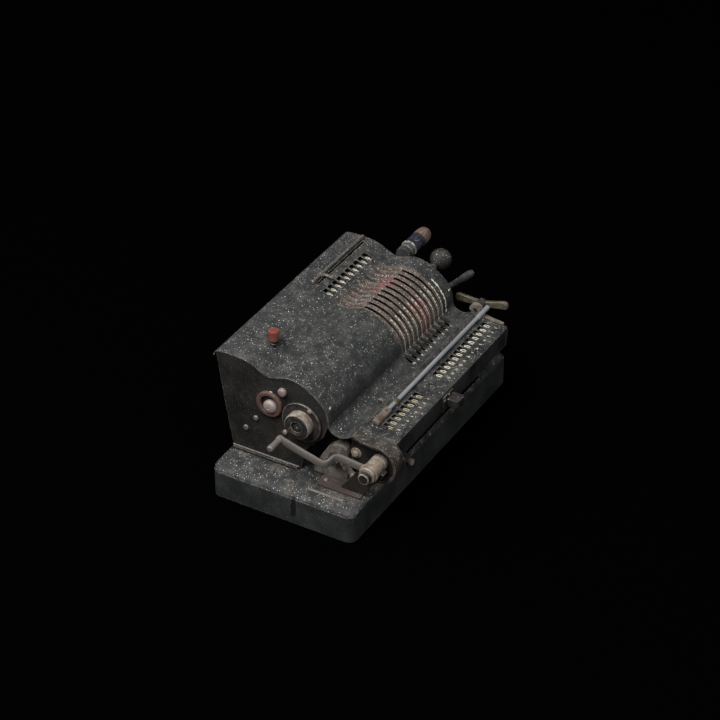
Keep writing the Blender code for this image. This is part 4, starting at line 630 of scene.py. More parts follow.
def screws(name, material, body, direction, spots, bevel=0.0):
    """Screws that look the same way, as one piece. A spot is its place, radius and height."""
    add(name, joined([screw(*spot, direction) for spot in spots]), material, body, bevel=bevel)


# Digits

STROKES = {
    "0": [
        (0.5, 1), (0.78, 0.87), (0.88, 0.5), (0.78, 0.13), (0.5, 0), (0.22, 0.13), (0.12, 0.5), (0.22, 0.87),
        (0.5, 1)
    ],
    "1": [(0.28, 0.78), (0.54, 1), (0.54, 0)],
    "2": [(0.14, 0.76), (0.26, 0.95), (0.5, 1), (0.78, 0.9), (0.83, 0.68), (0.7, 0.45), (0.14, 0), (0.88, 0)],
    "3": [
        (0.15, 0.88), (0.45, 1), (0.78, 0.9), (0.8, 0.68), (0.48, 0.54), (0.84, 0.38), (0.84, 0.14), (0.5, 0),
        (0.13, 0.12)
    ],
    "4": [(0.68, 0), (0.68, 1), (0.1, 0.3), (0.92, 0.3)],
    "5": [(0.8, 1), (0.26, 1), (0.2, 0.57), (0.5, 0.63), (0.82, 0.5), (0.86, 0.25), (0.6, 0.02), (0.13, 0.1)],
    "6": [
        (0.76, 0.95), (0.4, 0.85), (0.17, 0.45), (0.2, 0.12), (0.5, 0), (0.82, 0.12), (0.84, 0.4),
        (0.55, 0.57), (0.2, 0.42)
    ],
    "7": [(0.12, 1), (0.88, 1), (0.42, 0)],
    "8": [
        (0.5, 0.54), (0.8, 0.7), (0.78, 0.92), (0.5, 1), (0.22, 0.92), (0.2, 0.7), (0.5, 0.54), (0.86, 0.34),
        (0.82, 0.1), (0.5, 0), (0.18, 0.1), (0.14, 0.34), (0.5, 0.54)
    ],
    "9": [
        (0.24, 0.05), (0.6, 0.15), (0.83, 0.55), (0.8, 0.88), (0.5, 1), (0.18, 0.88), (0.16, 0.6),
        (0.45, 0.43), (0.8, 0.58)
    ],
}


def write(bm, text, spot, height, stroke=0.16, width=0.62):
    """Strokes of a number. The spot function turns a place on the label (right, up) into a place in space."""
    pitch = height * width * 1.12
    half = height * stroke / 2
    for place, digit in enumerate(text):
        shift = (place - (len(text) - 1) / 2) * pitch
        corners = [
            Vector(((a - 0.5) * height * width + shift, (b - 0.5) * height)) for a, b in STROKES[digit]
        ]
        points = [corners[0]]
        for a, b in zip(corners, corners[1:]):
            count = max(1, round((b - a).length / 0.9))
            points += [a.lerp(b, step / count) for step in range(1, count + 1)]
        pairs = []
        for i, point in enumerate(points):
            back = point - points[i - 1] if i else points[1] - points[0]
            ahead = points[i + 1] - point if i + 1 < len(points) else back
            along = back.normalized() + ahead.normalized()
            along = along.normalized() if along.length > 0.05 else ahead.normalized()
            side = Vector((-along.y, along.x))
            over = max(0.55, abs(side.dot(Vector((-ahead.y, ahead.x)).normalized())))
            pairs.append([point + side * half / over, point - side * half / over])
        verts = [[bm.verts.new(spot(*p)) for p in pair] for pair in pairs]
        for a, b in zip(verts, verts[1:]):
            bm.faces.new((a[0], b[0], b[1], a[1]))


def flat(centre, up):
    """Label places on a flat face whose right is along X."""
    return lambda a, b: Vector(centre) + Vector((a, 0, 0)) + Vector(up) * b


def write_on(bm, text, x, y, line, height):
    """A number on a sheet that bends round X: its top points to the rear."""
    z, normal = on_line(line, y)
    write(bm, text, flat(Vector((x, y, z)) + normal * DIGIT_LIFT, (0, normal.z, -normal.y)), height)


# The body

BASE_ROUND = (
    (0, 0, 0), (0.72, 0, 0), (0.81, 0.036, 0), (0.87, 0.13, 0.017), (0.92, 0.30, 0.133),
    (0.965, 0.607, 0.377), (1, 1, 1)
)


def base_piece():
    high = box("base")[1]
    corner = 9.0
    levels = smooth([(high.z * up, 14 * end, 5.5 * side) for up, end, side in BASE_ROUND], 4)
    levels = [(0, 0.5, 0.5), (0.5, 0, 0), *levels[4:]]
    bm = bmesh.new()
    rings = []
    for level, end, side in levels:
        x_half = high.x - max(0, end)
        y_half = high.y - max(0, side)
        outline = []
        for quarter, (sx, sy) in enumerate(((1, 1), (-1, 1), (-1, -1), (1, -1))):
            centre = (sx * (x_half - corner), sy * (y_half - corner))
            outline += arc(centre, corner, quarter * 90, quarter * 90 + 90, 12)
        rings.append([bm.verts.new((x, y, level)) for x, y in outline])
    base = add("base_casting", skin(bm, rings), BASE_PAINT, "frame", "base")
    pocket = [
        (-100.2, 65.5), (-100.2, -58.5), (-45, -58.5), (-45, -72.5), (98, -72.5), (98, -58.5), (102.2, -58.5),
        (102.2, 65.5)
    ]
    carve(base, prism(pocket, 6, high.z + 3, "Z"))
    round_edges(base, 0.7, 3, 40)
    ledge_details()


def ledge_details():
    """The plate's black foot with its dusty seam, and a raised bead on the left ledge."""
    foot = prism([(1.5, 34.6), (72.0, 34.6), (71.0, 37.2), (2.5, 37.2)], -119.0, -115.4)
    add("plate_foot", foot, SIDE_PAINT, "frame", bevel=0.4)
    seam = prism([(0.8, 37.0), (72.4, 37.0), (72.2, 37.8), (1.0, 37.8)], -116.7, -115.3)
    add("plate_seam_dust", seam, GREY_STEEL, "frame", bevel=0.25)
    bead = prism(link((-136.7, -22), (-136.7, -57), 1.5, 1.5, 8), 34.0, 35.2, "Z")
    add("ledge_bead", bead, GREY_STEEL, "frame", bevel=0.5, segments=3)


def cover_columns():
    """The places along X where the cover's mesh has a row of points: fine at the slots, windows and marks."""
    places = {-116.0 + 3.25 * i for i in range(40)}
    for slot in SLOT_PLACES:
        for step in (-4, -CHECK_HALF, -2.5, -1.9, -SLOT_HALF, -0.7, 0, 0.7, SLOT_HALF, 1.9, 2.5, CHECK_HALF):
            places.add(round(slot + step, 3))
    places.update((*HOLE_COLUMNS, *SLIT_COLUMNS, 96.5, 98.0, 98.6, 99.2, 99.8, 100.4))
    places.update(round(101.5 + 1.0 * i, 3) for i in range(16))
    places.add(118.0)
    return sorted(places)


def inside(value, ends):
    return ends[0] < value < ends[1]


def sheet(columns, line, spot, left_out):
    """A sheet's mesh over columns along X and the points of a line, left out where left_out says so."""
    bm = bmesh.new()
    grid = [[bm.verts.new(spot(x, i)) for i in range(len(line))] for x in columns]
    for i, (x_a, x_b) in enumerate(zip(columns, columns[1:])):
        for j, ((y_a, _), (y_b, _)) in enumerate(zip(line, line[1:])):
            if not left_out((x_a + x_b) / 2, (y_a + y_b) / 2):
                bm.faces.new((grid[i][j], grid[i + 1][j], grid[i + 1][j + 1], grid[i][j + 1]))
    return bm


def gap_to(x, places):
    return min(abs(x - place) for place in places)


def cover_piece():
    """One bent sheet: flutes, slots, number windows, the pointer's slit, the knob's hole and a boss."""
    line = with_rows(COVER_LINE, [*CHECK_ROWS, *SLIT_ROWS, *HOLE_ROWS, *SLOT_ROWS])

    def spot(x, i):
        y, z = line[i]
        before, after = line[max(i - 1, 0)], line[min(i + 1, len(line) - 1)]
        normal = Vector((0, before[1] - after[1], before[0] - after[0])).normalized()
        return Vector((x, y, z)) - normal * cover_depth(x, y)

    def left_out(x, y):
        near = gap_to(x, SLOT_PLACES)
        slot = near < SLOT_HALF and inside(y, SLOT_ROWS)
        window = near < CHECK_HALF and inside(y, CHECK_ROWS)
        slit = inside(x, SLIT_COLUMNS) and inside(y, SLIT_ROWS)
        hole = inside(x, HOLE_COLUMNS) and inside(y, HOLE_ROWS)
        return slot or window or slit or hole

    bm = sheet(cover_columns(), line, spot, left_out)
    thicken(add("cover_sheet", bm, COVER_PAINT, "frame", "top_cover"), COVER_SHEET, 0.3)


def apron_tab():
    """A black strip painted as the shade of a small slot, and a curled tab on the apron's front edge."""
    z, _ = on_line(COVER_LINE, -44.5)
    # Painted shade: a thin black strip on the apron's surface stands for the dark inside of a small slot.
    slot = prism([(-40.5, z + 0.10), (-48.6, z - 0.2), (-48.6, z - 0.6), (-40.5, z - 0.4)], -47.8, -46.4)
    add("apron_slot_painted_shade", slot, DIAL, "frame")
    z, _ = on_line(COVER_LINE, -50)
    curl = arc((-49.6, z + 1.2), 3.4, -20, 215, 16)[::-1] + arc((-49.6, z + 1.2), 2.4, -20, 215, 16)
    add("apron_tab", prism(curl, -56.0, -53.2), GREY_STEEL, "frame", bevel=0.2)


def ease(t):
    t = min(1, max(0, t))
    return t * t * (3 - 2 * t)


FLUTE_HALF, FLUTE_DEPTH = 3.4, 2.3
LINE_PLACE, LINE_HALF, LINE_DEPTH = 99.2, 0.9, 0.45
BOSS_SPOT, BOSS_REACH, BOSS_DEPTH = (107, 36), 10, 1.1


def cover_depth(x, y):
    """How far the sheet is pressed in at a place: the flutes, the scale's line and the dished boss."""
    trough = 0.5 + 0.5 * math.cos(math.pi * min(1, gap_to(x, SLOT_PLACES) / FLUTE_HALF))
    depth = FLUTE_DEPTH * ease((40 - y) / 20) * ease((y + 50) / 12)
    pressed = trough * depth if y > SLOT_ROWS[1] else trough * depth * 0.7
    line = ease(1 - abs(x - LINE_PLACE) / LINE_HALF)
    pressed += LINE_DEPTH * line * ease((27 - y) / 4) * ease((y + 31) / 4)
    away = math.hypot(x - BOSS_SPOT[0], y - BOSS_SPOT[1])
    if away < BOSS_REACH:
        pressed += BOSS_DEPTH * ease(1 - away / 6.5) - 0.25 * ease(1 - abs(away - 7.6) / 1.8)
    return max(pressed, 0 if away >= BOSS_REACH else -0.2)


def dial_digits(bm, x, height, stroke):
    """Nought to nine down the hood, at the setting lever's ten places."""
    for digit in range(10):
        y, z, normal = ray(COVER_LINE, DRUM, math.radians(DIAL_TOP - DIAL_STEP * digit))
        spot = Vector((x, y, z)) + normal * MARK_LIFT
        write(bm, str(digit), flat(spot, (0, normal.z, -normal.y)), height, stroke=stroke)


def cover_numbers():
    """Numbers of the places, digits beside the slots and the two marks beside the knob."""
    cream = bmesh.new()
    for number, x in enumerate(SLOT_PLACES):
        label = str(10 - number)
        write_on(cream, label, x, 42.0, COVER_LINE, 2.6)
        write_on(cream, label, x - 2.4, -44.6, COVER_LINE, 2.8)
        dial_digits(cream, x + 4, 2.6, 0.22)
    dial_digits(cream, 103.6, 3.5, 0.26)
    add("cover_numerals", cream, CREAM, "frame")
    gold = bmesh.new()
    for x, y, size in ((-51.5, 47.4, 3.4), (-92.0, 47.1, 3.0)):
        z, normal = on_line(COVER_LINE, y)
        up = Vector((0, normal.z, -normal.y))
        mark(gold, Vector((x, y, z)) + normal * MARK_LIFT, up, size)
    add("cover_marks", gold, GOLD, "frame")


def mark(bm, centre, up, size):
    """A plain cross or bar mark beside the knob."""
    right = Vector((1, 0, 0))
    half = size * 0.09
    for a, b in ((right, up), (up, right)):
        corners = ((-1, -1), (1, -1), (1, 1), (-1, 1))
        bm.faces.new([bm.verts.new(centre + a * size / 2 * s + b * half * t) for s, t in corners])


def ray(line, centre, turn):
    """Where a ray from a centre in the side view meets the line."""
    heading = Vector((math.cos(turn), math.sin(turn)))
    for (y_a, z_a), (y_b, z_b) in zip(line, line[1:]):
        run = Vector((y_b - y_a, z_b - z_a))
        gap = Vector((y_a - centre[0], z_a - centre[1]))
        cross = heading.x * run.y - heading.y * run.x
        if abs(cross) < 1e-9:
            continue
        far = (gap.x * run.y - gap.y * run.x) / cross
        share = (gap.x * heading.y - gap.y * heading.x) / cross
        if far > 0 and 0 <= share <= 1:
            return y_a + run.x * share, z_a + run.y * share, Vector((0, -run.y, run.x)).normalized() * -1
    return centre[0], centre[1], Vector((0, 0, 1))


def side_plates():
    refine("left_side_frame", SIDE_PAINT, "frame", 0.25)
    refine("right_side_frame", SIDE_PAINT, "frame", 0.25)
    refine("rear_panel", SIDE_PAINT, "frame", 0.3)
    face = PLATE_FACE
    spots = [((face, 29.9, 109.1), 2.6, 1.8), ((face, 46.8, 75.7), 2.7, 1.8), ((face, 57.8, 61.2), 2.8, 1.8)]
    screws("plate_screws", PALE_STEEL, "frame", "-X", spots, 0.12)
    big = lathe(
        [(face, 0), (face, 4.2), (face - 2.6, 4.1), (face - 3.6, 3.2), (face - 4.0, 1.4), (face - 4.0, 0)],
        (17.4, 115.4)
    )
    add("plate_bolt", big, PINK_STEEL, "frame", bevel=0.2)
    spots = [((-110.4, -29.0, 110.2), 2.4, 1.6), ((113.8, -28.6, 109.4), 2.4, 1.4)]
    screws("hood_screws", PALE_STEEL, "frame", "-Y", spots, 0.15)
    spots = [((117.3, y, z), 2.1, 1.5) for y, z in ((70, 60), (76, 118), (12, 52), (54, 122))]
    screws("right_plate_screws", STEEL, "frame", "X", spots, 0.12)


def bearings():
    low, high = box("left_drum_bearing")
    face, end = high.x, low.x
    flange = [
        (face, 12.0), (face, 19.6), (face - 0.6, 20.35), (face - 1.9, 20.35), (face - 2.6, 19.6),
        (face - 2.4, 18.6), (face - 2.1, 18.2), (face - 2.1, 12.0)
    ]
    add("left_bearing", lathe(flange, DRUM, sides=72), DARK_STEEL, "frame", "left_drum_bearing")
    rim = [(face - 1.6, 19.3), (face - 1.6, 20.4), (face - 2.3, 20.4), (face - 2.7, 20.0), (face - 2.7, 19.3)]
    add("bearing_rim", lathe(rim, DRUM, sides=72), STEEL, "frame")
    side = [(face, 11.6), (face, 12.9), (end + 1.4, 12.9), (end + 0.5, 12.5), (end + 0.1, 11.6)]
    add("bearing_hub", lathe(side, DRUM, sides=72), HUB_STEEL, "frame")
    disc = [
        (face, 5.0), (face, 12.0), (end + 0.15, 12.0), (end, 11.4), (end, 7.6), (end + 0.6, 7.2),
        (end + 1.9, 7.2), (end + 1.9, 5.0)
    ]
    add("bearing_face", lathe(disc, DRUM, sides=72), DARK_STEEL, "frame")
    lip = [(end + 0.9, 5.3), (end + 0.9, 6.9), (end + 0.3, 6.7), (end + 0.3, 5.5)]
    spots = [((face - 2.1, -12.2, 105.9), 2.3, 1.6), ((face - 0.1, 15.2, 71.7), 2.4, 2.2)]
    screws("bearing_screws", PINK_STEEL, "frame", "-X", spots)
    add("bearing_lip", lathe(lip, DRUM, sides=48), STEEL, "frame")
    low, high = box("drum_shaft")
    shaft = [(low.x + 1.2, 0), (low.x, 0.9), (low.x, 3.6), (low.x + 0.9, 4.4)]
    shaft += [(high.x - 0.9, 4.4), (high.x, 3.6), (high.x, 0.9), (high.x - 1.2, 0)]
    add("drum_shaft_fine", lathe(shaft, DRUM), STEEL, "drum", "drum_shaft")
    low, high = box("reversing_ring")
    centre = ((low.y + high.y) / 2, (low.z + high.z) / 2)
    outer = (high.y - low.y) / 2
    face, end = high.x, low.x
    ring = [
        (face, 9.0), (face, outer - 0.1), (end + 0.8, outer - 0.1), (end, outer - 0.9), (end, 9.8),
        (end + 0.8, 9.0)
    ]
    add(
        "ring_fine", lathe(ring, (centre[0] + 0.7, centre[1] + 0.8), sides=64), RUST, "frame",
        "reversing_ring"
    )
    tip = box("ring_bolt")[0].x
    head = [
        (face, 0), (face, 6.6), (tip + 3.4, 6.9), (tip + 2.0, 6.4), (tip + 0.9, 5.2), (tip + 0.3, 3.6),
        (tip, 2.0), (tip, 1.2), (tip + 0.7, 1.0), (tip + 0.7, 0)
    ]
    add(
        "ring_bolt_fine", lathe(head, (centre[0] - 0.7, centre[1] - 1.2), sides=40), PINK_STEEL, "frame",
        "ring_bolt"
    )
    refine("right_bearing_plate", DARK_STEEL, "frame", 0.3)


def crank_pieces():
    low, high = box("crank_arm")
    start = low.x
    arm = prism(link(CRANK, GRIP, 9.8, 7.3, 20), start, start + 6)
    add("crank_arm_bar", arm, PAINT, "crank", "crank_arm", bevel=1.1, segments=4)
    boss = start + 12.5
    hub = [(start + 5.5, 5.4), (start + 5.5, 8.0), (boss - 0.8, 8.0), (boss, 7.2), (boss, 5.4)]
    add("crank_boss", lathe(hub, CRANK), PAINT, "crank")
    pin = [(start + 5.9, 0), (start + 5.9, 2.95), (high.x, 2.95), (high.x, 0)]
    add("crank_pin", lathe(pin, GRIP, sides=32), STEEL, "crank")
    nut = [
        (boss - 1.4, 0), (boss - 1.4, 4.9), (boss - 0.15, 4.9), (boss, 4.5), (boss, 1.2), (boss - 0.8, 1.0),
        (boss - 0.8, 0)
    ]
    add("crank_shaft_end", lathe(nut, CRANK), PALE_STEEL, "crank")
    low, high = box("crank_handle")
    start, length = low.x, high.x - low.x
    shape = [
        (0, 6.8), (0.5, 7.2), (5.8, 7.25), (6.0, 8.0), (6.4, 8.25), (7.0, 8.25), (7.4, 7.9), (8.0, 7.6),
        (14, 7.85), (20.8, 7.9), (21.2, 7.65)
    ]
    shape += [
        (21.8, 7.7), (25, 7.95), (33, 7.85), (36.5, 7.4), (39, 6.6), (41, 5.0), (42.2, 2.6), (length, 0)
    ]
    profile = [(start + 35, 0), (start + 35, 3.3), (start, 3.3)]
    profile += [(start + a, r) for a, r in shape]
    add("crank_grip_fine", lathe(profile, GRIP, sides=64), GRIP_LACQUER, "crank_grip", "crank_handle")


BALL_REACH, BALL_TURN, BALL_RADIUS = 44.2, math.radians(136.4), 10.8


def ball_lever():
    low, high = box("setting_clear_lever")
    centre = (CRANK[0] + BALL_REACH * math.cos(BALL_TURN), CRANK[1] + BALL_REACH * math.sin(BALL_TURN))
    start = low.x
    arm = prism(link(CRANK, centre, 12, 4, 20), start, start + 3)
    piece = add("ball_lever_arm", arm, PAINT, "clear_lever", "setting_clear_lever", bevel=0.6, segments=3)
    carve(piece, lathe([(start - 2, 0), (start - 2, 8.3), (start + 5, 8.3), (start + 5, 0)], CRANK))
    ball_x = high.x - BALL_RADIUS
    profile = [(start + 2.6, 0), (start + 2.6, 3.2), (start + 5, 3.2), (ball_x - 10.6, 2.9)]
    turns = [math.radians(a) for a in range(18, 180, 9)]
    profile += [(ball_x - BALL_RADIUS * math.cos(a), BALL_RADIUS * math.sin(a)) for a in turns]
    profile += [(high.x, 0)]
    add("ball_knob", lathe(profile, centre, sides=48), SIDE_PAINT, "clear_lever")


def release_lever():
    x = box("release_lever")[0].x
    start = Vector((x + 3.4, *RELEASE))
    run = Vector((3.0, -26.8, 25.2))
    widths = (
        (0.0, 2.4), (0.1, 2.6), (0.3, 2.9), (0.5, 3.2), (0.6, 3.5), (0.75, 3.8), (0.9, 3.6), (0.96, 2.9),
        (0.99, 1.7), (1.0, 0.6)
    )
    fine = smooth(widths, 3)

    def section(share):
        place = min(range(len(fine)), key=lambda i: abs(i / (len(fine) - 1) - share))
        width = fine[place][1]
        flat = 0.75 if fine[place][0] < 0.5 else 1.0
        return [
            (width * math.cos(t), width * flat * math.sin(t)) for t in (math.tau * i / 24 for i in range(24))
        ]

    path = [start + run * a for a, _ in fine]
    lever = sweep(path, section, (1, 0, 0))
    add("release_lever_bar", lever, PAINT, "release", "release_lever")
    boss = [(x, 0), (x, 4.4), (x + 5.6, 4.4), (x + 6.6, 3.6), (x + 6.6, 1.1), (x + 5.9, 1.0), (x + 5.9, 0)]
    add("release_boss", lathe(boss, RELEASE, sides=32), PALE_STEEL, "release")


def drum_pieces():
    for number in range(1, len(SLOT_PLACES) + 1):
        refine(f"setting_lever_{number:02d}", COVER_PAINT, f"lever_{number:02d}", 0.3)
    assign("pinwheel_drum", DARK_STEEL)
    for node in ("check_shaft", "register_shaft", "carriage_saddle", "crank_shaft"):
        assign(node, STEEL)


def assign(node, material):
    slots = frame["nodes"][node].data.materials
    slots.clear()
    slots.append(material)


def wheel_digits(name, places, centre, radius, body, height, material, shift):
    """Ten digits round each wheel, bent with its face. The nought faces up."""
    bm = bmesh.new()
    for x in places:
        for digit in range(10):
            middle = math.radians(90 - 36 * digit)

            def spot(a, b):
                turn = middle - b / radius
                return Vector(
                    (x + shift + a, centre[0] + radius * math.cos(turn), centre[1] + radius * math.sin(turn))
                )

            write(bm, str(digit), spot, height, stroke=0.15, width=0.52)
    add(name, bm, material, body)


def wheel_face(x, half, inner, rim, edge, radius):
    """The profile of one wheel: its rim has a small step of this edge's width."""
    return [
        (x - half, inner), (x - half, rim), (x - half + edge, radius), (x + half - edge, radius),
        (x + half, rim), (x + half, inner)
    ]


def check_wheels():
    """The ten dials behind the small windows, as large as the cover's sheet lets them be."""
    low, high = box("check_wheel_01")
    reach = min(math.hypot(y - CHECK[0], z - CHECK[1]) for y, z in COVER_LINE)
    radius = min(reach - 1.25, (high.z - low.z) / 2 + 1.3)
    for number, x in enumerate(SLOT_PLACES, 1):
        body = f"check_{number:02d}"
        half = (high.x - low.x) / 2
        profile = wheel_face(x, half, 2.3, radius - 1.0, 0.5, radius)
        add(
            f"check_dial_{number:02d}", lathe(profile, CHECK, sides=40), DIAL, body,
            f"check_wheel_{number:02d}"
        )
        wheel_digits(f"check_digits_{number:02d}", [x], CHECK, radius + DIGIT_LIFT, body, 5.2, CREAM, 0.6)


def rear_rod():
    low, high = box("rear_decimal_rod")
    y = (low.y + high.y) / 2
    axis = (y, high.z - 1.4)
    rod = [(low.x, 0), (low.x, 1.1), (low.x + 0.4, 1.4), (high.x - 0.4, 1.4), (high.x, 1.1), (high.x, 0)]
    add("rear_rod_fine", lathe(rod, axis, sides=24), PALE_STEEL, "frame", "rear_decimal_rod")
    for number, x in enumerate((low.x + 0.1, high.x - 5.1), 1):
        foot = prism(
            [(y - 2.2, low.z), (y + 2.2, low.z), (y + 1.6, axis[1] + 0.9), (y - 1.6, axis[1] + 0.9)], x, x + 5
        )
        add(f"rear_rod_foot_{number}", foot, RUST, "frame", bevel=0.35)
    low, high = box("rear_pointer")
    hoop = arc(axis, 2.85, -20, 200, 18)[::-1] + arc(axis, 1.7, -20, 200, 18)
    tongue = [
        (axis[0] - 12.8, axis[1] + 0.1), (axis[0] - 12.8, axis[1] + 1.2), (axis[0] - 2.5, axis[1] + 1.5),
        (axis[0] - 2.5, axis[1] + 0.2)
    ]
    clip = joined([prism(hoop, low.x, high.x), prism(tongue, low.x + 1.6, high.x - 1.6)])
    add("rear_pointer_clip", clip, PALE_STEEL, "pointer", "rear_pointer", bevel=0.2)


def knob():
    low, high = box("reversing_knob")
    x, y = (low.x + high.x) / 2, (low.y + high.y) / 2
    top = JOINT_PLACES["knob_turn"][2]
    stem = [
        (low.z, 0), (low.z, 2.1), (top, 2.1), (top, 3.9), (top + 1.1, 3.9), (top + 1.5, 3.4),
        (top + 1.5, 2.2), (top + 4.4, 2.2), (top + 4.4, 0)
    ]
    add("knob_stem", lathe(stem, (x, y), "Z", 32), DARK_STEEL, "knob")
    foot = top + 3.6
    body = [
        (foot, 0), (foot, 3.6), (foot + 0.7, 4.5), (foot + 2.0, 4.75), (foot + 6, 5.0), (high.z - 1.6, 5.2),
        (high.z - 0.5, 4.8), (high.z, 3.8), (high.z, 0)
    ]
    add("knob_body", lathe(body, (x, y), "Z", 40), RED, "knob", "reversing_knob")


# The carriage


def carriage_housing():
    """The carriage's bent sheet with a window over each wheel."""
    low, high = box("carriage_housing")
    line = [
        (y, z) for y, z in with_rows(CARRIAGE_LINE, (HOUSING_REAR, *REGISTER_ROWS)) if y < HOUSING_REAR + 0.1
    ]
    columns = {round(low.x, 3), round(high.x, 3), -12.8, -6.2}
    x = low.x
    while x < high.x:
        columns.add(round(x, 3))
        x += 3.5
    windows = (*RESULT_PLACES, *COUNTER_PLACES)
    for place in windows:
        columns.update(round(place + step, 3) for step in (-REGISTER_HALF, REGISTER_HALF))
    columns = sorted(columns)
    kept = [columns[0]]
    edges = set()
    for x in columns[1:]:
        edge = any(abs(abs(x - place) - REGISTER_HALF) < 0.001 for place in windows)
        if edge and x - kept[-1] <= 0.3 and len(kept) > 1 and kept[-1] not in edges:
            kept.pop()
        if x - kept[-1] > 0.3 or edge:
            kept.append(x)
        if edge:
            edges.add(x)
    kept[-1] = round(high.x, 3)

    def left_out(x, y):
        return gap_to(x, windows) < REGISTER_HALF and inside(y, REGISTER_ROWS)

    bm = sheet(kept, line, lambda x, i: (x, *line[i]), left_out)
    thicken(add("carriage_sheet", bm, PAINT, "carriage", "carriage_housing"), HOUSING_SHEET, 0.35)


def carriage_numbers():
    """Numbers of the places in front of the windows."""
    cream = bmesh.new()
    for places in (RESULT_PLACES, COUNTER_PLACES):
        for number, x in enumerate(places):
            write_on(cream, str(len(places) - number), x, -83.0, CARRIAGE_LINE, 2.5)
    add("carriage_numerals", cream, CREAM, "carriage")


def register_wheels():
    """The carriage's two sets of number wheels."""
    for name, places, digits in (("result", RESULT_PLACES, CREAM), ("counter", COUNTER_PLACES, GOLD)):
        node, body = f"{name}_number_wheels", f"{name}_wheels"
        low, high = box(node)
        rim = REGISTER_RADIUS - 0.3
        rings = [lathe(wheel_face(x, 3.3, 10, rim, 0.4, REGISTER_RADIUS), REGISTER, sides=60) for x in places]
        core = [(low.x, 2.9), (low.x, 10.2), (high.x, 10.2), (high.x, 2.9)]
        add(f"{name}_wheels_fine", joined([*rings, lathe(core, REGISTER, sides=40)]), DIAL, body, node)
        wheel_digits(f"{name}_digits", places, REGISTER, REGISTER_RADIUS + DIGIT_LIFT, body, 6.6, digits, 0.7)


def cheek_line(radius, drop):
    top = [(y, z - drop) for y, z in CARRIAGE_LINE if y > -66]
    return top + arc(CLEARING, radius, 78, 290, 48)


def carriage_ends():
    low, high = box("carriage_left_cheek")
    rear = [(-53.5, 54.2), (-49.5, 60.8), (-49.5, 84.9), (-54.2, 87)]
    cheek = prism(cheek_line(19.45, 0) + rear, low.x, high.x)
    piece = add("carriage_cheek", cheek, WORN_PAINT, "carriage", "carriage_left_cheek", bevel=0.9, segments=3)
    hollow = cheek_line(17.3, 2.2) + [(-70, 35), (-40, 35), (-40, 92)]
    carve(piece, prism(hollow, low.x - 3, high.x - 8.7))
    wall = high.x - 8.7
    bolt = joined([
        lathe(
            [(wall + 0.05, 0), (wall + 0.05, 5.4), (wall - 0.8, 5.4), (wall - 1.2, 5.0), (wall - 1.2, 0)],
            BOLT_SPOT, sides=32
        ),
        lathe(
            [(wall - 1.1, 0), (wall - 1.1, 3.4), (wall - 3.2, 3.3), (wall - 4.0, 2.2), (wall - 4.0, 0)],
            BOLT_SPOT, sides=24
        ),
    ])
    add("cheek_bolt", bolt, TAN_STEEL, "carriage")
    # Painted shade: a blacker sheet over the inner wall of the cheek's hollow darkens the recess.
    dark = [(y, z) for y, z in cheek_line(17.2, 2.3) if z > 52.5]
    dark += [(-62, 52.5), (-53, 55.5), (-49.8, 61.5), (-49.8, 84.6)]
    add("cheek_shade_lining", prism(dark, wall - 0.12, wall + 0.1), SIDE_PAINT, "carriage")
    refine("carriage_right_end", PAINT, "carriage", 0.4)


def decimal_bar():
    low, high = box("decimal_bar")
    bar = [(-64, 0), (-64, 1.95), (109, 1.95), (109, 2.45), (high.x - 0.4, 2.45), (high.x, 1.9), (high.x, 0)]
    add("decimal_bar_rod", lathe(bar, DECIMAL_AXIS, sides=32), BAR_STEEL, "carriage", "decimal_bar")
    clamp = prism(
        [
            (-59.2, 91.3), (-65.8, 89.4), (-65.8, 92.4), (-64.6, 93.4), (-62.4, 94.4), (-60.2, 94.5),
            (-59.2, 94.0)
        ],
        -87.0, -62.3
    )
    add("decimal_clamp", clamp, RUST_TAN, "carriage", bevel=0.9, segments=3)
    latch = prism([(-68.2, 87.6), (-73.4, 87.3), (-73.4, 89.0), (-68.2, 89.6)], -86.4, -82.2)
    add("carriage_latch", latch, DARK_STEEL, "carriage", bevel=0.4)
    spots = [((-82, -62.6, 93.3), 2.3, 1.2), ((-67.5, -62.4, 93.4), 1.8, 1.2)]
    screws("clamp_screws", RUST, "carriage", "Z", spots)
    low, high = box("decimal_marker")
    hoop = arc(DECIMAL_AXIS, 3.1, -10, 190, 20)[::-1] + arc(DECIMAL_AXIS, 2.15, -10, 190, 20)
    add("decimal_marker_clip", prism(hoop, low.x, high.x), BRASS, "marker", "decimal_marker", bevel=0.2)


def wing_nut():
    refine("wing_nut_bracket", CAST_TAN, "carriage", 0.5)
    low, high = box("wing_nut")
    dome = 123.3
    end = dome + 7.2
    profile = [
        (low.x, 0), (low.x, 2.4), (dome, 2.4), (dome, 4.4), (dome + 0.5, 4.8), (end - 2, 4.8),
        (end + 3.4, 4.7)
    ]
    profile += [(end + 4.6, 4.1), (end + 5.6, 2.8), (high.x, 1.2), (high.x, 0)]
    add("wing_nut_hub", lathe(profile, NUT, sides=36), SIDE_PAINT, "nut", "wing_nut")
    y, z = NUT
    lean = math.radians(-6.5)
    side = [
        (4, -3.0), (14, -2.6), (24, -1.9), (27.0, -1.2), (28.3, 0.6), (28.2, 4.0), (26.4, 5.9), (22, 6.1),
        (12, 4.2), (4, 3.0)
    ]
    for number, sign in enumerate((1, -1), 1):
        level = [(sign * a, b) for a, b in smooth(side, 3)]
        outline = [
            (y + a * math.cos(lean) - b * math.sin(lean), z + a * math.sin(lean) + b * math.cos(lean))
            for a, b in level
        ]
        add(
            f"wing_nut_wing_{number}", prism(outline, end + 0.3, end + 4.2), BRASS, "nut", bevel=1.1,
            segments=4
        )


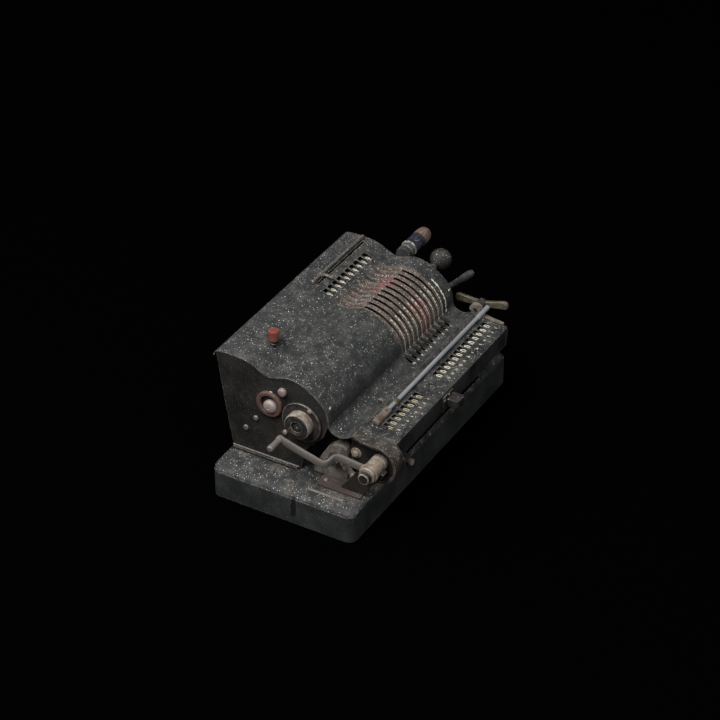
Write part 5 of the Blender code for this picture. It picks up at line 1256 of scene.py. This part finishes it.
def shift_key():
    low, high = box("carriage_shift_key")
    x, rear, front = -2.3, -91.3, low.y
    foot, top = low.z + 0.05, 81.6
    outline = [(x - 6.7, rear - 0.5)] + arc(
        (x - 3.9, front + 2.8), 2.8, 180, 270, 6
    ) + arc((x + 3.9, front + 2.8), 2.8, 270, 360, 6) + [(x + 6.7, rear - 0.5)]
    add(
        "shift_key_block", prism(outline, foot, top, "Z"), SIDE_PAINT, "shift_key", "carriage_shift_key",
        bevel=0.9, segments=3
    )
    plate = prism(
        [(x - 11.4, rear), (x - 11.4, rear - 1.75), (x + 6.75, rear - 1.75), (x + 6.75, rear)], foot + 0.8,
        high.z, "Z"
    )
    add("shift_key_plate", plate, SIDE_PAINT, "shift_key", bevel=0.5)
    stem = prism(
        [(x - 2.9, rear + 3.4), (x - 2.9, rear - 0.3), (x + 2.9, rear - 0.3), (x + 2.9, rear + 3.4)], 75.4,
        79.3, "Z"
    )
    add("shift_key_stem", stem, STEEL, "shift_key", bevel=0.2)
    spots = [((x - 9.2, rear - 1.7, 80.4), 2.0, 1.0), ((-3.5, rear - 1.7, 82.9), 1.6, 1.0)]
    screws("shift_key_screws", BRASS, "shift_key", "-Y", spots)


# The clearing gear


def clearing_gear():
    low, high = box("clearing_drum")
    body_end = high.x - 16
    profile = [
        (high.x, 0), (high.x, 7.6), (high.x - 0.5, 8.0), (high.x - 5, 8.0), (high.x - 5.4, 7.5),
        (high.x - 6, 7.5), (high.x - 6.4, 8.0)
    ]
    profile += [(body_end + 0.5, 8.0), (body_end, 7.6), (body_end, 4.0)]
    ring = body_end - 4.1
    profile += [
        (ring, 4.0), (ring, 8.8), (ring - 0.4, 9.2), (ring - 2.6, 9.2), (ring - 3.0, 8.8), (ring - 3.0, 7.4),
        (ring - 3.6, 7.4)
    ]
    profile += [
        (ring - 3.6, 8.0), (ring - 5.6, 8.0), (ring - 6.0, 7.6), (ring - 6.0, 5.5), (low.x + 0.6, 5.5),
        (low.x, 4.9)
    ]
    profile += [(low.x, 2.2), (low.x + 1.4, 2.0), (low.x + 1.4, 0)]
    add("clearing_roller", lathe(profile, CLEARING, sides=56), TAN_STEEL, "clearing", "clearing_drum")
    cap = [(low.x - 0.02, 0), (low.x - 0.02, 4.6), (low.x + 0.8, 5.6), (ring - 6.4, 5.75), (ring - 6.4, 5.4)]
    add("clearing_cap", lathe(cap, CLEARING, sides=48), SIDE_PAINT, "clearing")
    start, end = body_end - 0.3, body_end - 3.8
    outer = end - 14 - 1.75
    inner = (start + end) / 2
    y, z = CLEARING
    path = [
        (inner, y + 6, z + 0.6), (inner, y + 22, z + 2.1), (inner, y + 30, z + 2.9),
        (inner - 1.2, y + 34.0, z + 3.3), (inner - 5, y + 36.2, z + 3.6), (outer + 5, y + 36.8, z + 3.8),
        (outer + 1.2, y + 38.4, z + 4.1), (outer, y + 42, z + 4.9), (outer, y + 56, z + 8.4),
        (outer, y + 72, z + 12.6), (outer, y + 83.8, z + 16.0)
    ]
    add("clearing_crank_bar", flat_bar(smooth(path, 5), 3.5, 1.6), GREY_STEEL, "clearing", "clearing_crank")
    hub = [
        (start - 0.05, 4.3), (start - 0.05, 8.0), (start - 0.6, 8.4), (end + 0.6, 8.4), (end + 0.05, 8.0),
        (end + 0.05, 4.3)
    ]
    add("clearing_crank_hub", lathe(hub, CLEARING, sides=48), TAN_STEEL, "clearing")
    tip = (y + 84, z + 16)
    far = box("clearing_crank")[0].x
    handle = [
        (outer + 1.6, 0), (outer + 1.6, 3.6), (outer - 2.4, 3.6), (outer - 2.8, 2.9), (far + 6.5, 3.0),
        (far + 4.5, 3.3), (far + 1.2, 3.3), (far, 2.2), (far, 0)
    ]
    add("clearing_crank_pin", lathe(handle, tip, sides=32), GREY_STEEL, "clearing")


def flat_bar(path, half_width, half_thick):
    """A flat bar whose broad face stays upright in the side view while it bends sideways."""
    bm = bmesh.new()
    points = [Vector(p) for p in path]
    rings = []
    shape = ((1, 0.7), (0.75, 1), (-0.75, 1), (-1, 0.7), (-1, -0.7), (-0.75, -1), (0.75, -1), (1, -0.7))
    for i, point in enumerate(points):
        along = (points[min(i + 1, len(points) - 1)] - points[max(i - 1, 0)]).normalized()
        across = Vector((abs(along.y) + 0.001, -along.x if along.y > -0.2 else along.x, 0)).normalized()
        over = across.cross(along).normalized()
        rings.append(
            [bm.verts.new(point + across * half_thick * a + over * half_width * b) for a, b in shape]
        )
    return skin(bm, rings)


def pedestal():
    refine("clearing_pedestal", SIDE_PAINT, "frame", 0.5)
    refine("pedestal_plate", BROWN, "frame", 0.3)
    refine("carriage_rail", GREY_STEEL, "frame", 0.5)
    refine("left_rail_bracket", CAST_TAN, "frame", 1.4)
    refine("right_rail_bracket", CAST_TAN, "frame", 0.9)
    arm = prism(link((-46, 61.5), (-60.5, 50.5), 2.3, 2.9, 10), -119.6, -117.2)
    pins = []
    for spot, r, h in (((-42.5, 63.8), 2.0, 2.6), ((-50.5, 58.0), 2.5, 1.8), ((-58.5, 52.0), 2.9, 2.2)):
        pin = [(-119.4, 0), (-119.4, r), (-119.4 - h, r * 0.9), (-119.9 - h, r * 0.5), (-119.9 - h, 0)]
        pins.append(lathe(pin, spot, sides=20))
    nut = prism(link((-33.5, 61.0), (-38.5, 59.5), 3.4, 3.8, 3), -121.0, -112.2)
    add("pedestal_link", joined([arm, *pins]), TAN_STEEL, "frame", bevel=0.3)
    add("stop_block", nut, SIDE_PAINT, "frame", bevel=0.6)
    low, high = box("pedestal_plate")
    spots = [((low.x + 8, y, high.z), 2.0, 1.2) for y in (low.y + 6, high.y - 5)]
    screws("pedestal_screws", PALE_STEEL, "frame", "Z", spots)
    low, high = box("lip_thumbscrew")
    z = (low.z + high.z) / 2
    x = (low.x + high.x) / 2
    head = [
        (high.y, 0), (high.y, 2.3), (high.y - 1.5, 2.3), (high.y - 1.6, 3.3), (low.y + 0.5, 3.4),
        (low.y, 2.9), (low.y, 1.0), (low.y + 0.6, 0.9), (low.y + 0.6, 0)
    ]
    add("thumbscrew", lathe(head, (x, z), "Y", 18), TAN_STEEL, "frame", "lip_thumbscrew", bevel=0.2)


AMBIENT = (0.38, 0.38, 0.39)
BLACK = (0.0005, 0.0005, 0.0005)
LAMP_AIM = (0, 0, 0.08)
LAMPS = (
    ("key", (-0.95, 0.2, 1.8), 0.9, 45),
    ("fill", (-0.7, -1.5, 1.2), 1.4, 8),
    ("back", (-0.3, 1.5, 1.4), 1.0, 10),
)
CAMERA_TURN, CAMERA_TILT = math.radians(59.878), math.radians(34.899)
CAMERA_PLACE = (-0.00344, 0.07121, 2.5012)
CAMERA_LENS = 131.034


def studio():
    """A black floor and backdrop as in the photograph, and soft lamps.

    The world is black for the camera and in reflections, and lights the rest evenly.
    """
    bm = bmesh.new()
    bmesh.ops.create_grid(bm, x_segments=1, y_segments=1, size=6.0)
    mesh = bpy.data.meshes.new("floor")
    bm.to_mesh(mesh)
    bm.free()
    floor = bpy.data.objects.new("floor", mesh)
    floor.location = (0, 0, -0.0002)
    bpy.context.collection.objects.link(floor)
    m = Nodes("floor")
    m.put(Base_Color=BLACK, Roughness=1.0)
    m.shader.inputs["Specular IOR Level"].default_value = 0.0
    mesh.materials.append(m.made)
    world = bpy.data.worlds.new("studio")
    bpy.context.scene.world = world
    world.use_nodes = True
    tree = world.node_tree
    path = new_node(tree, "ShaderNodeLightPath")
    seen = path.outputs["Is Camera Ray"]
    for output in ("Is Glossy Ray", "Is Transmission Ray"):
        inputs = {0: seen, 1: path.outputs[output]}
        seen = new_node(tree, "ShaderNodeMath", inputs, operation="MAXIMUM").outputs[0]
    inputs = {0: seen, 6: (*AMBIENT, 1), 7: (0, 0, 0, 1)}
    blend = new_node(tree, "ShaderNodeMix", inputs, data_type="RGBA")
    tree.links.new(blend.outputs[2], tree.nodes["Background"].inputs["Color"])
    for name, place, size, power in LAMPS:
        lamp = bpy.data.lights.new(name, "AREA")
        lamp.size = size
        lamp.energy = power
        obj = bpy.data.objects.new(name, lamp)
        obj.location = place
        aim = Vector(LAMP_AIM) - Vector(place)
        obj.rotation_euler = aim.to_track_quat("-Z", "Y").to_euler()
        bpy.context.collection.objects.link(obj)


def camera():
    """The photograph's camera: its turn about the part, its tilt and its distance."""
    level = math.cos(CAMERA_TILT)
    back = Vector((-math.sin(CAMERA_TURN) * level, -math.cos(CAMERA_TURN) * level, math.sin(CAMERA_TILT)))
    right = Vector((math.cos(CAMERA_TURN), -math.sin(CAMERA_TURN), 0))
    up = back.cross(right)
    eye = back * CAMERA_PLACE[2] + right * CAMERA_PLACE[0] + up * CAMERA_PLACE[1]
    data = bpy.data.cameras.new("camera")
    data.lens = CAMERA_LENS
    data.sensor_width = 36
    obj = bpy.data.objects.new("camera", data)
    obj.matrix_world = Matrix.Translation(eye) @ Matrix((right, up, back)).transposed().to_4x4()
    bpy.context.collection.objects.link(obj)
    bpy.context.scene.camera = obj


bpy.context.scene.view_settings.view_transform = "Standard"
camera()
studio()
base_piece()
cover_piece()
cover_numbers()
apron_tab()
side_plates()
bearings()
crank_pieces()
ball_lever()
release_lever()
drum_pieces()
check_wheels()
rear_rod()
knob()
carriage_housing()
carriage_numbers()
register_wheels()
carriage_ends()
decimal_bar()
wing_nut()
shift_key()
clearing_gear()
pedestal()
